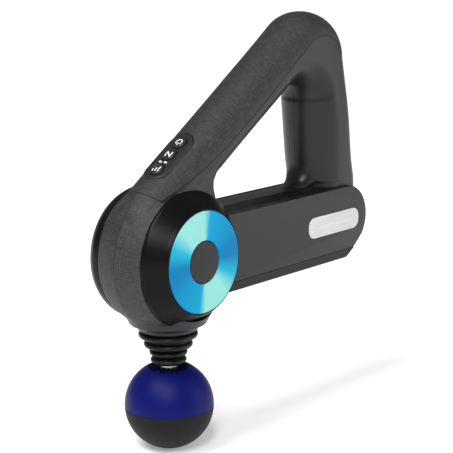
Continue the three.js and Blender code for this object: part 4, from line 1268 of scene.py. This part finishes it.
def ball():
    """Foam ball: a blue upper half with a crater round the rod, and a black lower half."""
    crater = math.degrees(math.asin((CRATER_RIM_Z - BALL_Z) / BALL_R))
    split = math.degrees(math.asin((BALL_SPLIT_Z - BALL_Z) / BALL_R))
    seam = 0.06
    upper = [(7.3, BALL_SPLIT_Z + seam)] + arc(0, BALL_Z, BALL_R, split + 0.2, crater - 1.5, 40)
    upper += [(12.1, CRATER_RIM_Z), (11.2, -64.1), (10.6, -65.6), (9.6, -67.2), (8.4, -67.8), (7.3, -67.8)]
    top = lathe("ball_upper_foam", upper, "Z", 128)
    dress(top, BALL_BLUE, body="ball_head", nodes=["ball_upper"], degrees=50)
    lower = arc(0, BALL_Z, BALL_R, -90, split - 0.2, 48) + [(0, BALL_SPLIT_Z - seam)]
    lower[0] = (0, BALL_Z - BALL_R)
    base = lathe("ball_lower_foam", lower, "Z", 128)
    dress(base, BALL_BLACK, body="ball_head", nodes=["ball_lower"], degrees=50)


boot()
rod()
ball()

# ------------------------------------------------------------------ CAD nodes that keep their shape
KEPT = {
    HUB: ("ball_socket", "battery_holder"),
    RUBBER: ("rod_o_ring", "charge_socket"),
    LIGHT_GUIDE: ("status_lights",),
    BOARD: ("button_board", "main_board"),
    CELL: ("lower_battery_cell", "upper_battery_cell"),
    BRONZE: ("upper_bushing", "lower_bushing"),
    COPPER: ("stator",),
    STEEL: (
        "guide_block", "yoke", "crank_wheel", "crank_pin", "crank_roller", "motor_shaft", "rotor_can",
        "motor_base", "front_motor_bearing", "rear_motor_bearing",
        "battery_cover_screw_1", "battery_cover_screw_2", "battery_cover_screw_3", "battery_cover_screw_4",
        "motor_screw_1", "motor_screw_2", "motor_screw_3",
    ),
}
for kept_material, kept_nodes in KEPT.items():
    for node in kept_nodes:
        carried = frame["nodes"][node]
        carried.data.materials.clear()
        carried.data.materials.append(kept_material)


# ------------------------------------------------------------------ stage, light and camera
FLOOR_HALF = 6.0  # metres
FLOOR_NEAR, FLOOR_FAR = 0.25, 1.0  # metres from the middle, where its glow is least and greatest


def stage():
    """A plain pale floor that glows a little, and more with distance."""
    mesh = bpy.data.meshes.new("floor")
    corners = [(x * FLOOR_HALF, y * FLOOR_HALF, 0) for x, y in ((-1, -1), (1, -1), (1, 1), (-1, 1))]
    mesh.from_pydata(corners, [], [(0, 1, 2, 3)])
    floor = bpy.data.objects.new("floor", mesh)
    bpy.context.scene.collection.objects.link(floor)
    shader = Shader("pale_floor", 0.9)
    shader.ramp(shader.noise(3.0), [(0.3, srgb(250, 250, 250)), (0.7, srgb(252, 252, 252))], "Base Color")
    distance = shader.nodes.new("ShaderNodeVectorMath")
    distance.operation = "LENGTH"
    shader.link(shader.place, distance.inputs[0])
    near, far = (0.28, 0.28, 0.28, 1), (0.78, 0.78, 0.78, 1)
    shader.ramp(distance.outputs["Value"], [(FLOOR_NEAR, near), (FLOOR_FAR, far)], "Emission Color")
    shader.principled.inputs["Emission Strength"].default_value = 1.0
    mesh.materials.append(shader.material)


def softbox(name, place, size, power, target=(0.0, 0.0, 0.12)):
    light = bpy.data.lights.new(name, "AREA")
    light.shape = "RECTANGLE"
    light.size, light.size_y = size
    light.energy = power
    lamp = bpy.data.objects.new(name, light)
    lamp.location = place
    aim = Vector(target) - Vector(place)
    lamp.rotation_euler = aim.to_track_quat("-Z", "Y").to_euler()
    bpy.context.scene.collection.objects.link(lamp)


def surroundings(strength):
    world = bpy.data.worlds.new("studio")
    world.use_nodes = True
    world.node_tree.nodes["Background"].inputs[0].default_value = (1, 1, 1, 1)
    world.node_tree.nodes["Background"].inputs[1].default_value = strength
    bpy.context.scene.world = world


CAMERA_FROM_DRUM = Vector((-0.56953, -0.52734, 0.17995))  # metres
CAMERA_LENS = 115.4
CAMERA_AZIMUTH, CAMERA_ELEVATION, CAMERA_ROLL = -49.62, 11.95, -0.41


def camera():
    """A long lens in front of the drum, to its left and above it, a hair off level."""
    data = bpy.data.cameras.new("camera")
    data.sensor_width = 36.0
    data.lens = CAMERA_LENS
    view = bpy.data.objects.new("camera", data)
    place = DRUM + CAMERA_FROM_DRUM
    azimuth, elevation, roll = (math.radians(a) for a in (CAMERA_AZIMUTH, CAMERA_ELEVATION, CAMERA_ROLL))
    forward = Vector((
        -math.sin(azimuth) * math.cos(elevation),
        math.cos(azimuth) * math.cos(elevation),
        -math.sin(elevation),
    ))
    level = Vector((math.cos(azimuth), math.sin(azimuth), 0))
    upright = level.cross(forward)
    right = level * math.cos(roll) + upright * math.sin(roll)
    up = upright * math.cos(roll) - level * math.sin(roll)
    turn = Matrix((right, up, -forward)).transposed().to_4x4()
    view.matrix_world = Matrix.Translation(place) @ turn
    bpy.context.scene.collection.objects.link(view)
    bpy.context.scene.camera = view


stage()
surroundings(0.25)
softbox("right_front", (0.9, -1.2, 0.5), (0.8, 1.0), 6)
softbox("left_back", (-0.8, 0.1, 1.4), (0.6, 0.9), 18)
softbox("left_front", (-1.1, -0.8, 1.3), (0.35, 0.8), 18)
camera()

bpy.context.scene.view_settings.view_transform = "Standard"
